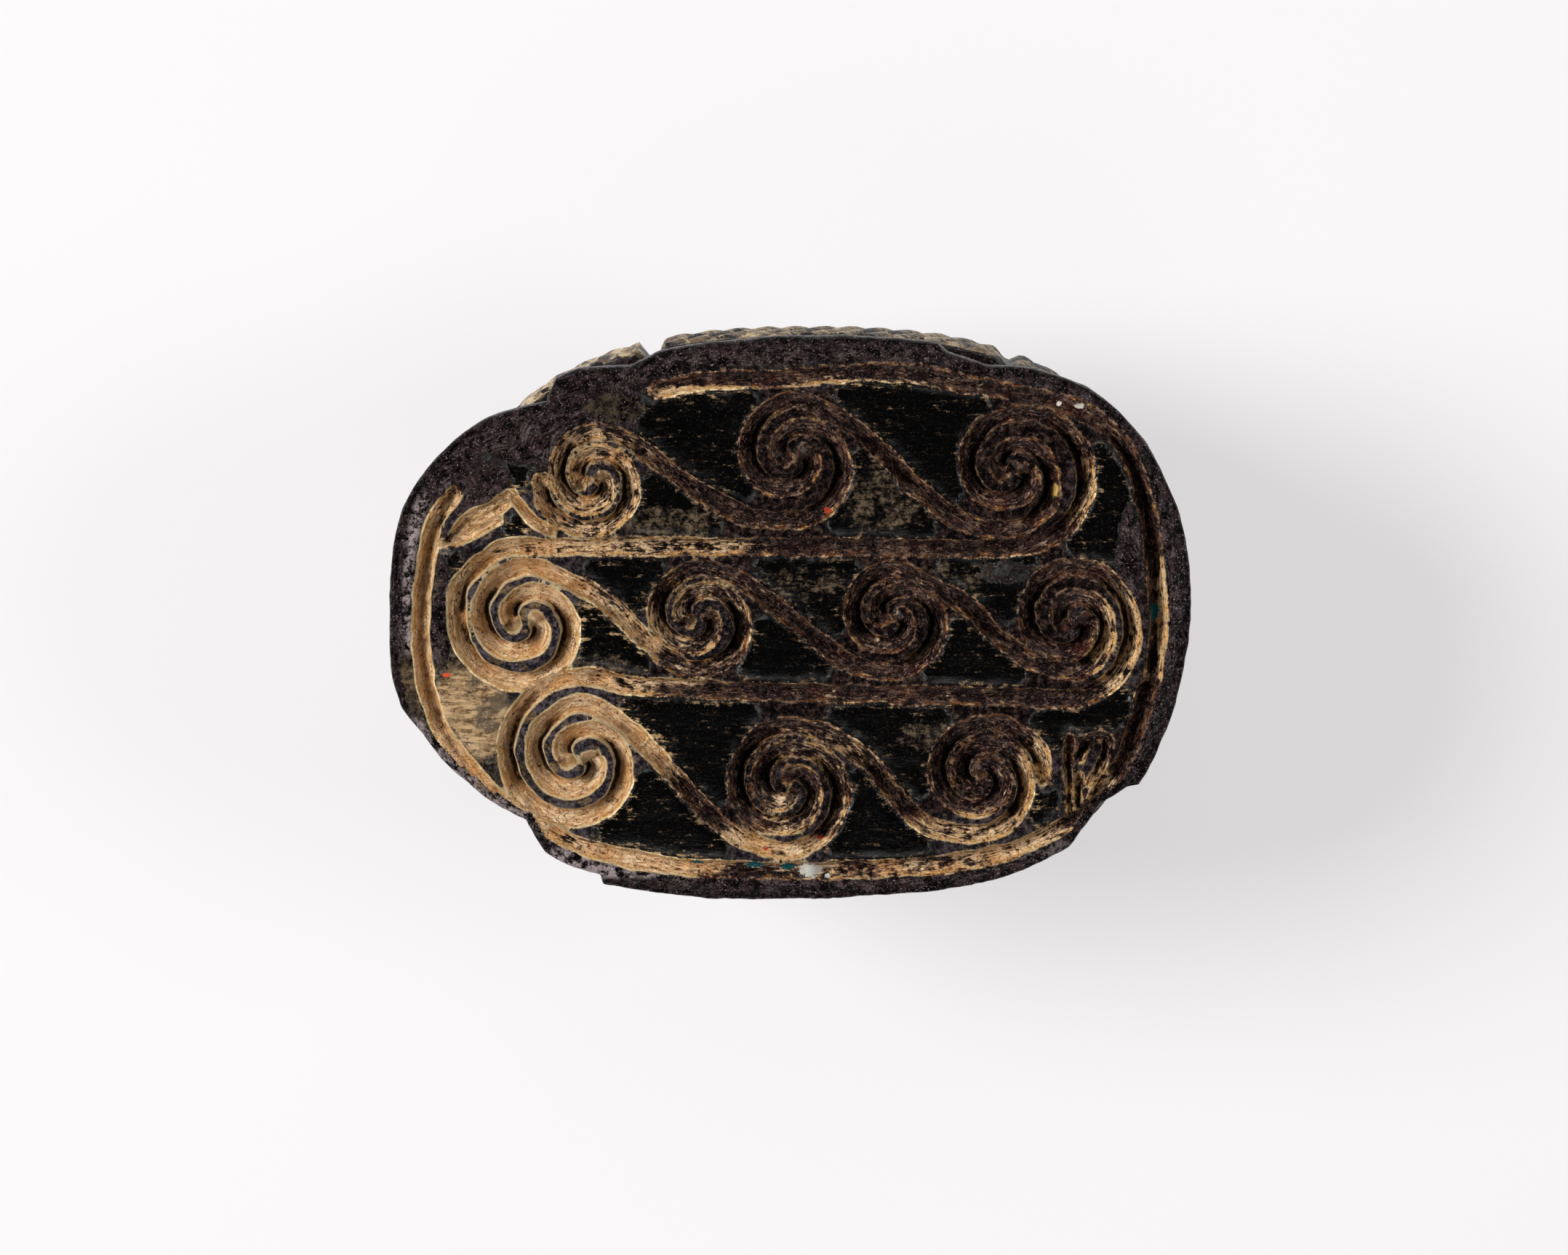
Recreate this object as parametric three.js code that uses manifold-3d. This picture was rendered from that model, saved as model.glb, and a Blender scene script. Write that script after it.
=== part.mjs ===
// A scarab seal: one small carved stone, a beetle with a flat oval sealing face under it.
// It lies on its back, so the sealing face is up. Millimetres, +Z up, head towards -X.
// The face is cut with one unbroken scroll: ten two-armed spirals in three rows, joined by
// slanting links, with two long furrows between the rows and an oval border furrow round them.
import * as THREE from 'three';
import { mergeVertices } from 'three/addons/utils/BufferGeometryUtils.js';
import Module from 'manifold-3d';

const wasm = await Module();
wasm.setup();

// ---- driving dimensions ----
const HEIGHT = 9.0;                 // crown of the back to the sealing face
const FACE = { a: 10.0, b: 7.15, power: 2.6 };   // superellipse of the sealing face
const PLATE = 1.75;                 // thickness of the plain edge round the face
const EDGE_BEVEL = 0.12;
const FURROW = { half: 0.24, floor: 0.08, depth: 0.36, clear: 0.3 };
const ARM_STEPS = 4;                // stations in each quarter turn of a spiral
const BORE = { radius: 0.95, z: 4.75 };          // lengthwise string hole
const FLAT_SPOT = 0.2;              // how much of the crown is worn flat, so that it lies still
const STEATITE = { color: 0x2a2325, roughness: 0.38, metalness: 0.0 };

// Where the rim has worn or chipped back: [direction in degrees from +X, mm lost].
const RIM_LOSS = [
  [0, 0], [20, 0], [28, -0.1], [38, -0.15], [46, 0.06], [52, 0.36], [59.5, 0.24], [62, 0.02],
  [90, 0.06], [106, 0.18], [116, 0.28], [122, 0.58], [130, 0.36], [134, 0.4], [138, 0.88],
  [146, 0.45], [155, 0.22], [164, 0], [188, 0], [193, 0.1], [197.5, 0.4], [202, 0.58],
  [207, 0.78], [212, 0.88], [217.5, 0.98], [224, 0.4], [228, 0.28], [233.7, 0.28], [235, 0.07],
  [262, 0.06], [290, 0.12], [310, 0.06], [320.5, 0.12], [324, 0.36], [329, 0.6], [333.5, 0.36],
  [334.5, 0.17], [342, 0.24], [350, 0.17], [357, 0.04], [360, 0],
];

// Slopes left where pieces broke off the rim: direction in degrees, how far inside the true
// rim the slope starts, its fall in degrees and its width.
const RIM_BREAKS = [
  { at: 131, inset: 1.15, fall: 24, width: 5.6 },
  { at: 152, inset: 0.85, fall: 22, width: 4.4 },
  { at: 209, inset: 0.72, fall: 40, width: 3.6 },
  { at: 223, inset: 0.75, fall: 34, width: 2.2 },
  { at: 329, inset: 0.66, fall: 36, width: 1.7 },
  { at: 54, inset: 0.34, fall: 40, width: 2.6 },
];

// Each spiral has an arm that leads out to the next spiral and one that comes in from the
// last one. Radii are given at each quarter turn, clockwise, from the arm's inner end.
// The outward arm starts at `start` degrees clockwise from +X and the inward one opposite.
const SPIRALS = {
  s1: { x: -4.90, y: 3.48, start: 0, out: [0.28, 0.58, 0.84, 1.22],
    into: [0.30, 0.62, 0.92, 1.20, 1.30] },
  s2: { x: 0.12, y: 4.08, start: 0, out: [0.32, 0.72, 1.12, 1.40],
    into: [0.32, 0.68, 1.12, 1.58] },
  s3: { x: 5.55, y: 3.73, start: 0, out: [0.32, 0.70, 1.10, 1.40, 1.80, 1.92],
    into: [0.30, 0.62, 0.92, 1.45] },
  s4: { x: -6.60, y: -0.07, start: 0, out: [0.30, 0.68, 1.07, 1.38],
    into: [0.32, 0.70, 1.08, 1.46, 1.68] },
  s5: { x: -2.27, y: 0.03, start: 0, out: [0.32, 0.65, 0.98, 1.25],
    into: [0.32, 0.66, 1.06, 1.25] },
  s6: { x: 2.55, y: 0.03, start: 0, out: [0.30, 0.62, 0.94, 1.20],
    into: [0.30, 0.64, 1.08, 1.30] },
  s7: { x: 7.05, y: -0.07, start: 0, out: [0.30, 0.68, 1.10, 1.36, 1.45, 1.88],
    into: [0.30, 0.58, 0.82, 1.22] },
  s8: { x: -5.25, y: -3.50, start: 0, out: [0.30, 0.68, 1.07, 1.38],
    into: [0.32, 0.70, 1.06, 1.46, 1.80, 2.08] },
  s9: { x: -0.05, y: -4.22, start: -90, out: [0.32, 0.62, 0.95, 1.27, 1.56],
    into: [0.32, 0.62, 0.95, 1.27, 1.60] },
  s10: { x: 4.80, y: -3.97, start: -90, out: [0.25, 0.46, 0.75, 1.05, 1.35, 1.57],
    into: [0.25, 0.48, 0.76, 1.06, 1.38] },
};

// The furrows between spirals: from, to, and the points that the furrow runs through.
const LINKS = [
  { from: 's1', to: 's2', via: [[-4.1, 4.53], [-3.1, 3.83], [-2.1, 3.13], [-1.0, 2.6]] },
  { from: 's2', to: 's3', via: [[1.2, 5.08], [2.3, 4.18], [3.3, 3.18], [4.3, 2.48]] },
  { from: 's4', to: 's5', via: [[-5.5, 0.98], [-4.5, 0.38], [-3.7, -0.42], [-3.0, -1.0]] },
  { from: 's5', to: 's6', via: [[-1.4, 1.03], [-0.4, 0.38], [0.6, -0.42], [1.5, -1.07]] },
  { from: 's6', to: 's7', via: [[3.4, 0.93], [4.4, 0.33], [5.3, -0.52], [6.1, -1.07]] },
  { from: 's8', to: 's9', via: [[-4.3, -2.52], [-3.4, -3.37], [-2.5, -4.37], [-1.4, -5.37]] },
  { from: 's9', to: 's10', via: [[1.0, -2.92], [2.0, -3.65], [2.8, -4.6], [3.6, -5.2]] },
  { from: 's3', to: 's4', via: [[4.2, 1.8], [0, 1.83], [-4, 1.83], [-6, 1.83], [-7.0, 1.78],
    [-7.75, 1.38], [-8.25, 0.68]] },
  { from: 's7', to: 's8', via: [[5.5, -1.94], [2, -1.85], [-2, -1.67], [-4, -1.47]] },
];

// The border furrow, clockwise from the worn upper left round to its other end.
const BORDER = [
  [-3.3, 5.73], [-2, 5.98], [0, 6.03], [1.5, 6.18], [3, 6.16], [4, 5.98], [5, 5.78], [6.5, 5.48],
  [7.5, 5.08], [8.2, 4.48], [8.6, 3.68], [8.87, 2.78], [9.07, 1.58], [9.17, 0.28], [9.12, -0.92],
  [8.87, -1.92], [8.57, -2.92], [8.2, -3.72], [7.6, -4.52], [7.0, -5.06], [6, -5.62],
  [5, -5.96], [3.5, -6.18], [2, -6.28], [0, -6.32], [-2, -6.28], [-3, -6.2], [-4, -6.02],
  [-5, -5.76], [-6, -5.32], [-7.3, -4.48], [-8.1, -3.64], [-8.6, -2.92], [-9.0, -1.92],
  [-9.15, -0.92], [-9.2, 0.08], [-9.05, 1.58], [-8.8, 2.48], [-8.35, 3.14],
];

// Small leaf and bud cuts that fill the corners of the border.
const BUD_CUTS = [
  [[-8.5, 1.95], [-8.0, 2.55], [-7.4, 2.85], [-7.0, 3.15]],
  [[-7.0, 3.15], [-6.75, 2.85], [-6.35, 2.75]],
  [[-8.3, 1.95], [-7.7, 2.2], [-7.2, 2.5]],
  [[7.0, -3.2], [6.97, -3.9], [7.02, -5.0]],
  [[7.1, -3.1], [7.45, -2.85], [7.7, -3.1], [7.55, -3.6], [7.15, -3.95]],
  [[7.15, -4.25], [7.5, -4.2], [7.85, -4.3]],
];
const BUD_CUT = { half: 0.15, floor: 0.05, depth: 0.22, clear: 0.3 };

// The beetle: lumps of its back as ellipsoids, [centre x, centre z, half sizes x, y, z].
const BACK = {
  elytra: [2.25, 4.85, 7.2, 6.45, 4.85 + FLAT_SPOT],
  thorax: [-3.4, 4.9, 3.5, 6.2, 4.88],
  head: [-6.3, 5.0, 2.65, 2.7, 3.1],
  cheeks: [-5.7, 5.3, 2.9, 4.9, 2.6],
};
const LUMP_GRID = [30, 16];
const FLANK = { x: 0.5, a: 9.1, b: 7.0, power: 2.6, bottom: 4.35, top: 7.45, round: 0.7 };
const CLYPEUS = { x: -7.7, reach: 2.0, half: 2.7, teeth: 4, notch: 0.3, top: 7.0, thick: 1.35 };
const CARVED_LINE = { radius: 0.17, sides: 6 };
const THORAX_EDGE = -1.75;          // where the wing cases begin, on the crown
const NECK = -6.15;                 // where the thorax begins, on the crown
const LEG_CUTS = { from: -7.6, to: 8.7, step: 0.72, lean: 32, low: 4.7, high: 6.95, size: 0.34 };
const LEG_GAPS = [-3.45, 5.5];      // between fore, middle and hind legs
const LEG_GAP_SIZE = 0.6;

// ---- solids ----

function toSolid(geometry) {
  const bare = geometry.index ? geometry.clone() : geometry;
  bare.deleteAttribute('normal');
  bare.deleteAttribute('uv');
  const merged = mergeVertices(bare, 1e-5);
  return new wasm.Manifold(new wasm.Mesh({
    numProp: 3,
    vertProperties: new Float32Array(merged.attributes.position.array),
    triVerts: new Uint32Array(merged.index.array),
  }));
}

function toGeometry(solid) {
  const mesh = solid.getMesh();
  const geometry = new THREE.BufferGeometry();
  geometry.setAttribute('position', new THREE.BufferAttribute(mesh.vertProperties, 3));
  geometry.setIndex(new THREE.BufferAttribute(mesh.triVerts, 1));
  geometry.computeVertexNormals();
  return geometry;
}

const radians = THREE.MathUtils.degToRad;

// Radius of a superellipse in a direction given in degrees.
function superRadius({ a, b, power }, degrees) {
  const c = Math.abs(Math.cos(radians(degrees))) / a;
  const s = Math.abs(Math.sin(radians(degrees))) / b;
  return (c ** power + s ** power) ** (-1 / power);
}

function rimLoss(degrees) {
  const i = RIM_LOSS.findIndex(([angle]) => angle >= degrees);
  if (i <= 0) return RIM_LOSS[0][1];
  const [a0, l0] = RIM_LOSS[i - 1];
  const [a1, l1] = RIM_LOSS[i];
  return THREE.MathUtils.mapLinear(degrees, a0, a1, l0, l1);
}

// Every loss angle is a corner of the outline, with even steps between them.
function rimAngles(step) {
  const angles = RIM_LOSS.slice(0, -1).map(([angle]) => angle);
  for (let angle = 0; angle < 360; angle += step) {
    if (angles.every((other) => Math.abs(other - angle) > step / 2)) angles.push(angle);
  }
  return angles.sort((p, q) => p - q);
}

function polarShape(angles, radiusAt) {
  return new THREE.Shape(angles.map((degrees) => new THREE.Vector2(
    radiusAt(degrees) * Math.cos(radians(degrees)),
    radiusAt(degrees) * Math.sin(radians(degrees)),
  )));
}

// The plain-edged plate that carries the sealing face.
function plate() {
  const shape = polarShape(rimAngles(4), (d) => superRadius(FACE, d) - rimLoss(d) - EDGE_BEVEL);
  const geometry = new THREE.ExtrudeGeometry(shape, {
    depth: PLATE - 2 * EDGE_BEVEL, bevelEnabled: true, bevelSegments: 1,
    bevelThickness: EDGE_BEVEL, bevelSize: EDGE_BEVEL,
  });
  return toSolid(geometry.translate(0, 0, HEIGHT - PLATE + EDGE_BEVEL));
}

// The drum between the plate and the back, in which the legs are cut.
function flank() {
  const angles = Array.from({ length: 45 }, (_, i) => 8 * i);
  const shape = polarShape(angles, (d) => superRadius(FLANK, d) - FLANK.round);
  const geometry = new THREE.ExtrudeGeometry(shape, {
    depth: FLANK.top - FLANK.bottom - 2 * FLANK.round, bevelEnabled: true, bevelSegments: 2,
    bevelThickness: FLANK.round, bevelSize: FLANK.round,
  });
  return toSolid(geometry.translate(FLANK.x, 0, FLANK.bottom + FLANK.round));
}

// The lower part of an ellipsoid, up to the height where the flank covers it.
function lump([x, z, a, b, c]) {
  const whole = toSolid(new THREE.SphereGeometry(1, ...LUMP_GRID).rotateX(Math.PI / 2)
    .scale(a, b, c).translate(x, 0, z));
  const above = new THREE.BoxGeometry(30, 30, 10).translate(0, 0, FLANK.top - 0.4 + 5);
  return whole.subtract(toSolid(above));
}

// The notched shovel at the front of the head.
function clypeus() {
  const points = [];
  const steps = CLYPEUS.teeth * 4;
  for (let i = 0; i <= steps; i += 1) {
    const turn = Math.PI / 2 + (Math.PI * i) / steps;
    const dip = i % 4 === 0 ? CLYPEUS.notch : 0;
    points.push(new THREE.Vector2(
      CLYPEUS.x + (CLYPEUS.reach - dip) * Math.cos(turn),
      (CLYPEUS.half - dip) * Math.sin(turn),
    ));
  }
  const geometry = new THREE.ExtrudeGeometry(new THREE.Shape(points), {
    depth: CLYPEUS.thick, bevelEnabled: false,
  });
  return toSolid(geometry.translate(0, 0, CLYPEUS.top - CLYPEUS.thick));
}

// ---- cutters ----

// A curve whose stations are its own points, evenly spaced in number and not in length.
class StationCurve extends THREE.CatmullRomCurve3 {
  getPointAt(u, target) {
    return this.getPoint(u, target);
  }

  getTangentAt(u, target) {
    return this.getTangent(u, target);
  }
}

// A furrow with sloping sides and a narrow floor, cut down from the sealing face.
function furrow(points, { half, floor, depth, clear }) {
  const path = new StationCurve(points.map(([x, y]) => new THREE.Vector3(x, y, HEIGHT)));
  const section = new THREE.Shape([
    new THREE.Vector2(-clear, -half), new THREE.Vector2(0, -half), new THREE.Vector2(depth, -floor),
    new THREE.Vector2(depth, floor), new THREE.Vector2(0, half), new THREE.Vector2(-clear, half),
  ]);
  return toSolid(new THREE.ExtrudeGeometry(section, {
    steps: points.length - 1, extrudePath: path, bevelEnabled: false,
  }));
}

// Radius between quarter turns, on a smooth curve through the given radii.
function armRadius(radii, quarters) {
  const i = Math.min(Math.floor(quarters), radii.length - 2);
  const f = quarters - i;
  const before = i > 0 ? radii[i - 1] : 2 * radii[0] - radii[1];
  const after = i < radii.length - 2 ? radii[i + 2] : 2 * radii[i + 1] - radii[i];
  const slopes = [(radii[i + 1] - before) / 2, (after - radii[i]) / 2];
  return radii[i] * (1 - f) ** 2 * (1 + 2 * f) + radii[i + 1] * f * f * (3 - 2 * f)
    + slopes[0] * f * (1 - f) ** 2 - slopes[1] * f * f * (1 - f);
}

function armPoints({ x, y, start, ...arms }, which) {
  const radii = arms[which];
  const first = which === 'out' ? start : start + 180;
  const count = (radii.length - 1) * ARM_STEPS;
  return Array.from({ length: count + 1 }, (_, i) => {
    const quarters = i / ARM_STEPS;
    const turn = radians(first + 90 * quarters);
    const r = armRadius(radii, quarters);
    return [x + r * Math.cos(turn), y - r * Math.sin(turn)];
  });
}

function scrollCutters() {
  const paths = LINKS.map(({ from, to, via }) => [
    ...armPoints(SPIRALS[from], 'out'), ...via, ...armPoints(SPIRALS[to], 'into').reverse(),
  ]);
  paths.push(armPoints(SPIRALS.s1, 'into'), armPoints(SPIRALS.s10, 'out'), BORDER);
  return [
    ...paths.map((points) => furrow(points, FURROW)),
    ...BUD_CUTS.map((points) => furrow(points, BUD_CUT)),
  ];
}

// A block whose lower face is the slope of one break in the rim.
function rimBreakCutter({ at, inset, fall, width }) {
  const reach = 4;
  const block = new THREE.BoxGeometry(reach, width, reach).translate(reach / 2, 0, reach / 2);
  const r = superRadius(FACE, at) - inset;
  block.rotateY(radians(fall));
  block.rotateZ(rimNormal(at));
  block.translate(r * Math.cos(radians(at)), r * Math.sin(radians(at)), HEIGHT);
  return toSolid(block);
}

// Outward direction of the plate's edge, in radians, at a direction from the middle.
function rimNormal(degrees, { a, b, power } = FACE) {
  const r = superRadius({ a, b, power }, degrees);
  const x = (r * Math.cos(radians(degrees))) / a;
  const y = (r * Math.sin(radians(degrees))) / b;
  return Math.atan2(Math.sign(y) * Math.abs(y) ** (power - 1) / b,
    Math.sign(x) * Math.abs(x) ** (power - 1) / a);
}

// Lowest point of an ellipsoid lump over a place in plan.
function lumpBelow([cx, cz, a, b, c], x, y) {
  const inside = 1 - ((x - cx) / a) ** 2 - (y / b) ** 2;
  return inside > 0 ? cz - c * Math.sqrt(inside) : Infinity;
}

// The back's surface under a place in plan; on the crown it is the worn flat.
function backSurface(x, y) {
  return Math.max(0, Math.min(...Object.values(BACK).map((one) => lumpBelow(one, x, y))));
}

// A round-bottomed line carved along the back.
function carvedLine(points) {
  const path = new THREE.CatmullRomCurve3(points);
  const section = new THREE.Shape(Array.from({ length: CARVED_LINE.sides }, (_, i) => {
    const turn = (2 * Math.PI * i) / CARVED_LINE.sides;
    return new THREE.Vector2(Math.cos(turn), Math.sin(turn)).multiplyScalar(CARVED_LINE.radius);
  }));
  return toSolid(new THREE.ExtrudeGeometry(section, {
    steps: points.length - 1, extrudePath: path, bevelEnabled: false,
  }));
}

function backLine(count, place) {
  return carvedLine(Array.from({ length: count }, (_, i) => {
    const [x, y] = place(i / (count - 1));
    return new THREE.Vector3(x, y, backSurface(x, y));
  }));
}

// The seam between the wing cases, the line behind the thorax, the line behind the head and
// the two small nicks at the shoulders.
function backCutters() {
  const { lerp } = THREE.MathUtils;
  const suture = backLine(14, (f) => [lerp(THORAX_EDGE, 9.2, f), 0]);
  const collar = backLine(14, (f) => {
    const y = lerp(-5.4, 5.4, f);
    return [THORAX_EDGE + 0.012 * y * y, y];
  });
  const neck = backLine(10, (f) => {
    const y = lerp(-3.6, 3.6, f);
    return [NECK + 0.05 * y * y, y];
  });
  const nicks = [-1, 1].map((side) => backLine(4, (f) => [
    lerp(THORAX_EDGE + 0.2, THORAX_EDGE + 1.7, f), side * lerp(4.3, 5.0, f),
  ]));
  return [suture, collar, neck, ...nicks];
}

// A straight V cut in the flank at x on one side, leaning by some degrees.
function flankCut(x, side, lean, size, low, high) {
  const along = x - FLANK.x;
  const share = 1 - Math.abs(along / FLANK.a) ** FLANK.power;
  const y = side * FLANK.b * share ** (1 / FLANK.power);
  const normal = rimNormal(THREE.MathUtils.radToDeg(Math.atan2(y, along)), FLANK);
  const length = (high - low) / Math.cos(radians(lean));
  const bar = new THREE.BoxGeometry(size, size, length).rotateZ(Math.PI / 4);
  bar.rotateX(side * radians(lean));
  bar.rotateZ(normal);
  return toSolid(bar.translate(x, y, (low + high) / 2));
}

function legCutters() {
  const cutters = [];
  for (const side of [-1, 1]) {
    for (let x = LEG_CUTS.from; x <= LEG_CUTS.to; x += LEG_CUTS.step) {
      if (LEG_GAPS.some((gap) => Math.abs(gap - x) < LEG_GAP_SIZE * 0.6)) continue;
      const lean = x < LEG_GAPS[0] ? -LEG_CUTS.lean : LEG_CUTS.lean;
      cutters.push(flankCut(x, side, lean, LEG_CUTS.size, LEG_CUTS.low, LEG_CUTS.high));
    }
    for (const gap of LEG_GAPS) {
      cutters.push(flankCut(gap, side, 0, LEG_GAP_SIZE, FLANK.bottom - 0.6, FLANK.top - 0.25));
    }
  }
  return cutters;
}

// The cuts round the flank that part the legs from the plate and from the back.
function flankGroove(z, size) {
  const angles = Array.from({ length: 46 }, (_, i) => 8 * i);
  const points = angles.slice(0, -1).map((d) => new THREE.Vector3(
    FLANK.x + superRadius(FLANK, d) * Math.cos(radians(d)),
    superRadius(FLANK, d) * Math.sin(radians(d)), z,
  ));
  const path = new THREE.CatmullRomCurve3(points, true);
  const section = new THREE.Shape([
    new THREE.Vector2(-size, 0), new THREE.Vector2(0, -size),
    new THREE.Vector2(size, 0), new THREE.Vector2(0, size),
  ]);
  return toSolid(new THREE.ExtrudeGeometry(section, {
    steps: 45, extrudePath: path, bevelEnabled: false,
  }));
}

function boreCutter() {
  return toSolid(new THREE.CylinderGeometry(BORE.radius, BORE.radius, 24, 20)
    .rotateZ(Math.PI / 2).translate(0, 0, BORE.z));
}

function crownCutter() {
  return toSolid(new THREE.BoxGeometry(30, 30, 2).translate(0, 0, -1));
}

// ---- the seal ----

function scarab() {
  let solid = plate();
  const bodies = [flank(), clypeus(), ...Object.values(BACK).map(lump)];
  for (const body of bodies) solid = solid.add(body);
  const cutters = [
    crownCutter(), boreCutter(), flankGroove(FLANK.bottom + 0.05, 0.3),
    ...backCutters(), ...legCutters(), ...RIM_BREAKS.map(rimBreakCutter), ...scrollCutters(),
  ];
  for (const cutter of cutters) solid = solid.subtract(cutter);
  return toGeometry(solid);
}

const object = new THREE.Group();
const mesh = new THREE.Mesh(scarab(), new THREE.MeshStandardMaterial(STEATITE));
mesh.name = 'scarab';
object.add(mesh);

export default object;
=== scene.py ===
"""Looks of the scarab seal: one carved stone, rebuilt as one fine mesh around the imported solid.

Lengths are in millimetres until a mesh is made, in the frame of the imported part: +X from the
beetle's head to its tail, +Z out of the sealing face, the seal lying on its back.
"""
import math
from functools import reduce
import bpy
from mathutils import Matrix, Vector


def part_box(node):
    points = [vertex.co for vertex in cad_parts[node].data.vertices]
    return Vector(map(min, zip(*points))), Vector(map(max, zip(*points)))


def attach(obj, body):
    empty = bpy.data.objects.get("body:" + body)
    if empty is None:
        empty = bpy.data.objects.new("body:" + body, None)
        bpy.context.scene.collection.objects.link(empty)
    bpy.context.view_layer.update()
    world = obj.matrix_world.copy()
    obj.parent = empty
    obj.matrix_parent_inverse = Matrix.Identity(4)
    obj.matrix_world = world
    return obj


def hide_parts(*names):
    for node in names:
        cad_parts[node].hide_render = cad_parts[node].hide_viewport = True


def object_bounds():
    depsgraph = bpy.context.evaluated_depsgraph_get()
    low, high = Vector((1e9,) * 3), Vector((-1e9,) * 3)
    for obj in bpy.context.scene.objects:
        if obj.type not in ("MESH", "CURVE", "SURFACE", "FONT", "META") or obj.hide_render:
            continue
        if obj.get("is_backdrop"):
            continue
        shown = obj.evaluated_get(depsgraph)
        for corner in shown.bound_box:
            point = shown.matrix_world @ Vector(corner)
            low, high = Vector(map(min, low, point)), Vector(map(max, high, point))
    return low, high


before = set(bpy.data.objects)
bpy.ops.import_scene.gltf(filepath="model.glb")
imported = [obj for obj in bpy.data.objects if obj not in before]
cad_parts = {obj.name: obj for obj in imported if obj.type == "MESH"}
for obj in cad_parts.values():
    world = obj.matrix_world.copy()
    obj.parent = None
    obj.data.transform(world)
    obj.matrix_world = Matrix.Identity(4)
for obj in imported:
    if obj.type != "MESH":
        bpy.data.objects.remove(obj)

from types import SimpleNamespace

import bpy
import numpy as np
from mathutils import Matrix, Vector, kdtree
from mathutils.geometry import delaunay_2d_cdt

CAD_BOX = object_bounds()
MM = 0.001
NODE = "scarab"
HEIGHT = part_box(NODE)[1][2] / MM

# ---- the sealing face ----
FACE = (10.0, 7.15, 2.6)  # half length, half width and power of the superellipse
PLATE = 1.75  # thickness of the plain edge round the face
FURROW_HALF = 0.24
LOWEST = 0.43  # depth of a furrow's lowest line; its floor averages 0.36
PATH_STEP = 0.02  # spacing of the samples along a furrow's middle line
ARM_STEPS = 4  # stations in each quarter turn of a spiral

# Where the rim has worn or chipped back: direction in degrees from +X, and mm lost.
RIM_LOSS = [
    (0, 0), (20, 0), (28, -0.1), (38, -0.15), (46, 0.06), (52, 0.36), (59.5, 0.24), (62, 0.02),
    (90, 0.06), (106, 0.18), (116, 0.28), (122, 0.58), (130, 0.36), (134, 0.4), (138, 0.88),
    (146, 0.45), (155, 0.22), (164, 0), (188, 0), (193, 0.1), (197.5, 0.4), (202, 0.58),
    (207, 0.78), (212, 0.88), (217.5, 0.98), (224, 0.4), (228, 0.28), (233.7, 0.28),
    (235, 0.07), (262, 0.06), (290, 0.12), (310, 0.06), (320.5, 0.12), (324, 0.36), (329, 0.6),
    (333.5, 0.36), (334.5, 0.17), (342, 0.24), (350, 0.17), (357, 0.04), (360, 0),
]

# Slopes where pieces broke off the rim: direction in degrees, start inside the rim, fall in
# degrees and width.
RIM_BREAKS = [
    (131, 1.15, 24, 5.6), (152, 0.85, 22, 4.4), (209, 0.72, 40, 3.6), (223, 0.75, 34, 2.2),
    (329, 0.66, 36, 1.7), (54, 0.34, 40, 2.6),
]

# Spirals: centre x, y, start in degrees clockwise from +X, and the radii at each quarter turn
# of the arm that leads out and of the arm that comes in, which starts opposite.
SPIRALS = {
    "s1": (-4.90, 3.48, 0, (0.28, 0.58, 0.84, 1.22), (0.30, 0.62, 0.92, 1.20, 1.30)),
    "s2": (0.12, 4.08, 0, (0.32, 0.72, 1.12, 1.40), (0.32, 0.68, 1.12, 1.58)),
    "s3": (5.55, 3.73, 0, (0.32, 0.70, 1.10, 1.40, 1.80, 1.92), (0.30, 0.62, 0.92, 1.45)),
    "s4": (-6.60, -0.07, 0, (0.30, 0.68, 1.07, 1.38), (0.32, 0.70, 1.08, 1.46, 1.68)),
    "s5": (-2.27, 0.03, 0, (0.32, 0.65, 0.98, 1.25), (0.32, 0.66, 1.06, 1.25)),
    "s6": (2.55, 0.03, 0, (0.30, 0.62, 0.94, 1.20), (0.30, 0.64, 1.08, 1.30)),
    "s7": (7.05, -0.07, 0, (0.30, 0.68, 1.10, 1.36, 1.45, 1.88), (0.30, 0.58, 0.82, 1.22)),
    "s8": (-5.25, -3.50, 0, (0.30, 0.68, 1.07, 1.38), (0.32, 0.70, 1.06, 1.46, 1.80, 2.08)),
    "s9": (-0.05, -4.22, -90, (0.32, 0.62, 0.95, 1.27, 1.56), (0.32, 0.62, 0.95, 1.27, 1.60)),
    "s10": (4.80, -3.97, -90, (0.25, 0.46, 0.75, 1.05, 1.35, 1.57),
            (0.25, 0.48, 0.76, 1.06, 1.38)),
}

# The furrows between spirals: from, to, and the points that the furrow runs through.
LINKS = [
    ("s1", "s2", [(-4.1, 4.53), (-3.1, 3.83), (-2.1, 3.13), (-1.0, 2.6)]),
    ("s2", "s3", [(1.2, 5.08), (2.3, 4.18), (3.3, 3.18), (4.3, 2.48)]),
    ("s4", "s5", [(-5.5, 0.98), (-4.5, 0.38), (-3.7, -0.42), (-3.0, -1.0)]),
    ("s5", "s6", [(-1.4, 1.03), (-0.4, 0.38), (0.6, -0.42), (1.5, -1.07)]),
    ("s6", "s7", [(3.4, 0.93), (4.4, 0.33), (5.3, -0.52), (6.1, -1.07)]),
    ("s8", "s9", [(-4.3, -2.52), (-3.4, -3.37), (-2.5, -4.37), (-1.4, -5.37)]),
    ("s9", "s10", [(1.0, -2.92), (2.0, -3.65), (2.8, -4.6), (3.6, -5.2)]),
    ("s3", "s4", [(4.2, 1.8), (0, 1.83), (-4, 1.83), (-6, 1.83), (-7.0, 1.78), (-7.75, 1.38),
                  (-8.25, 0.68)]),
    ("s7", "s8", [(5.5, -1.94), (2, -1.86), (-2, -1.75), (-4, -1.62)]),
]

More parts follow.
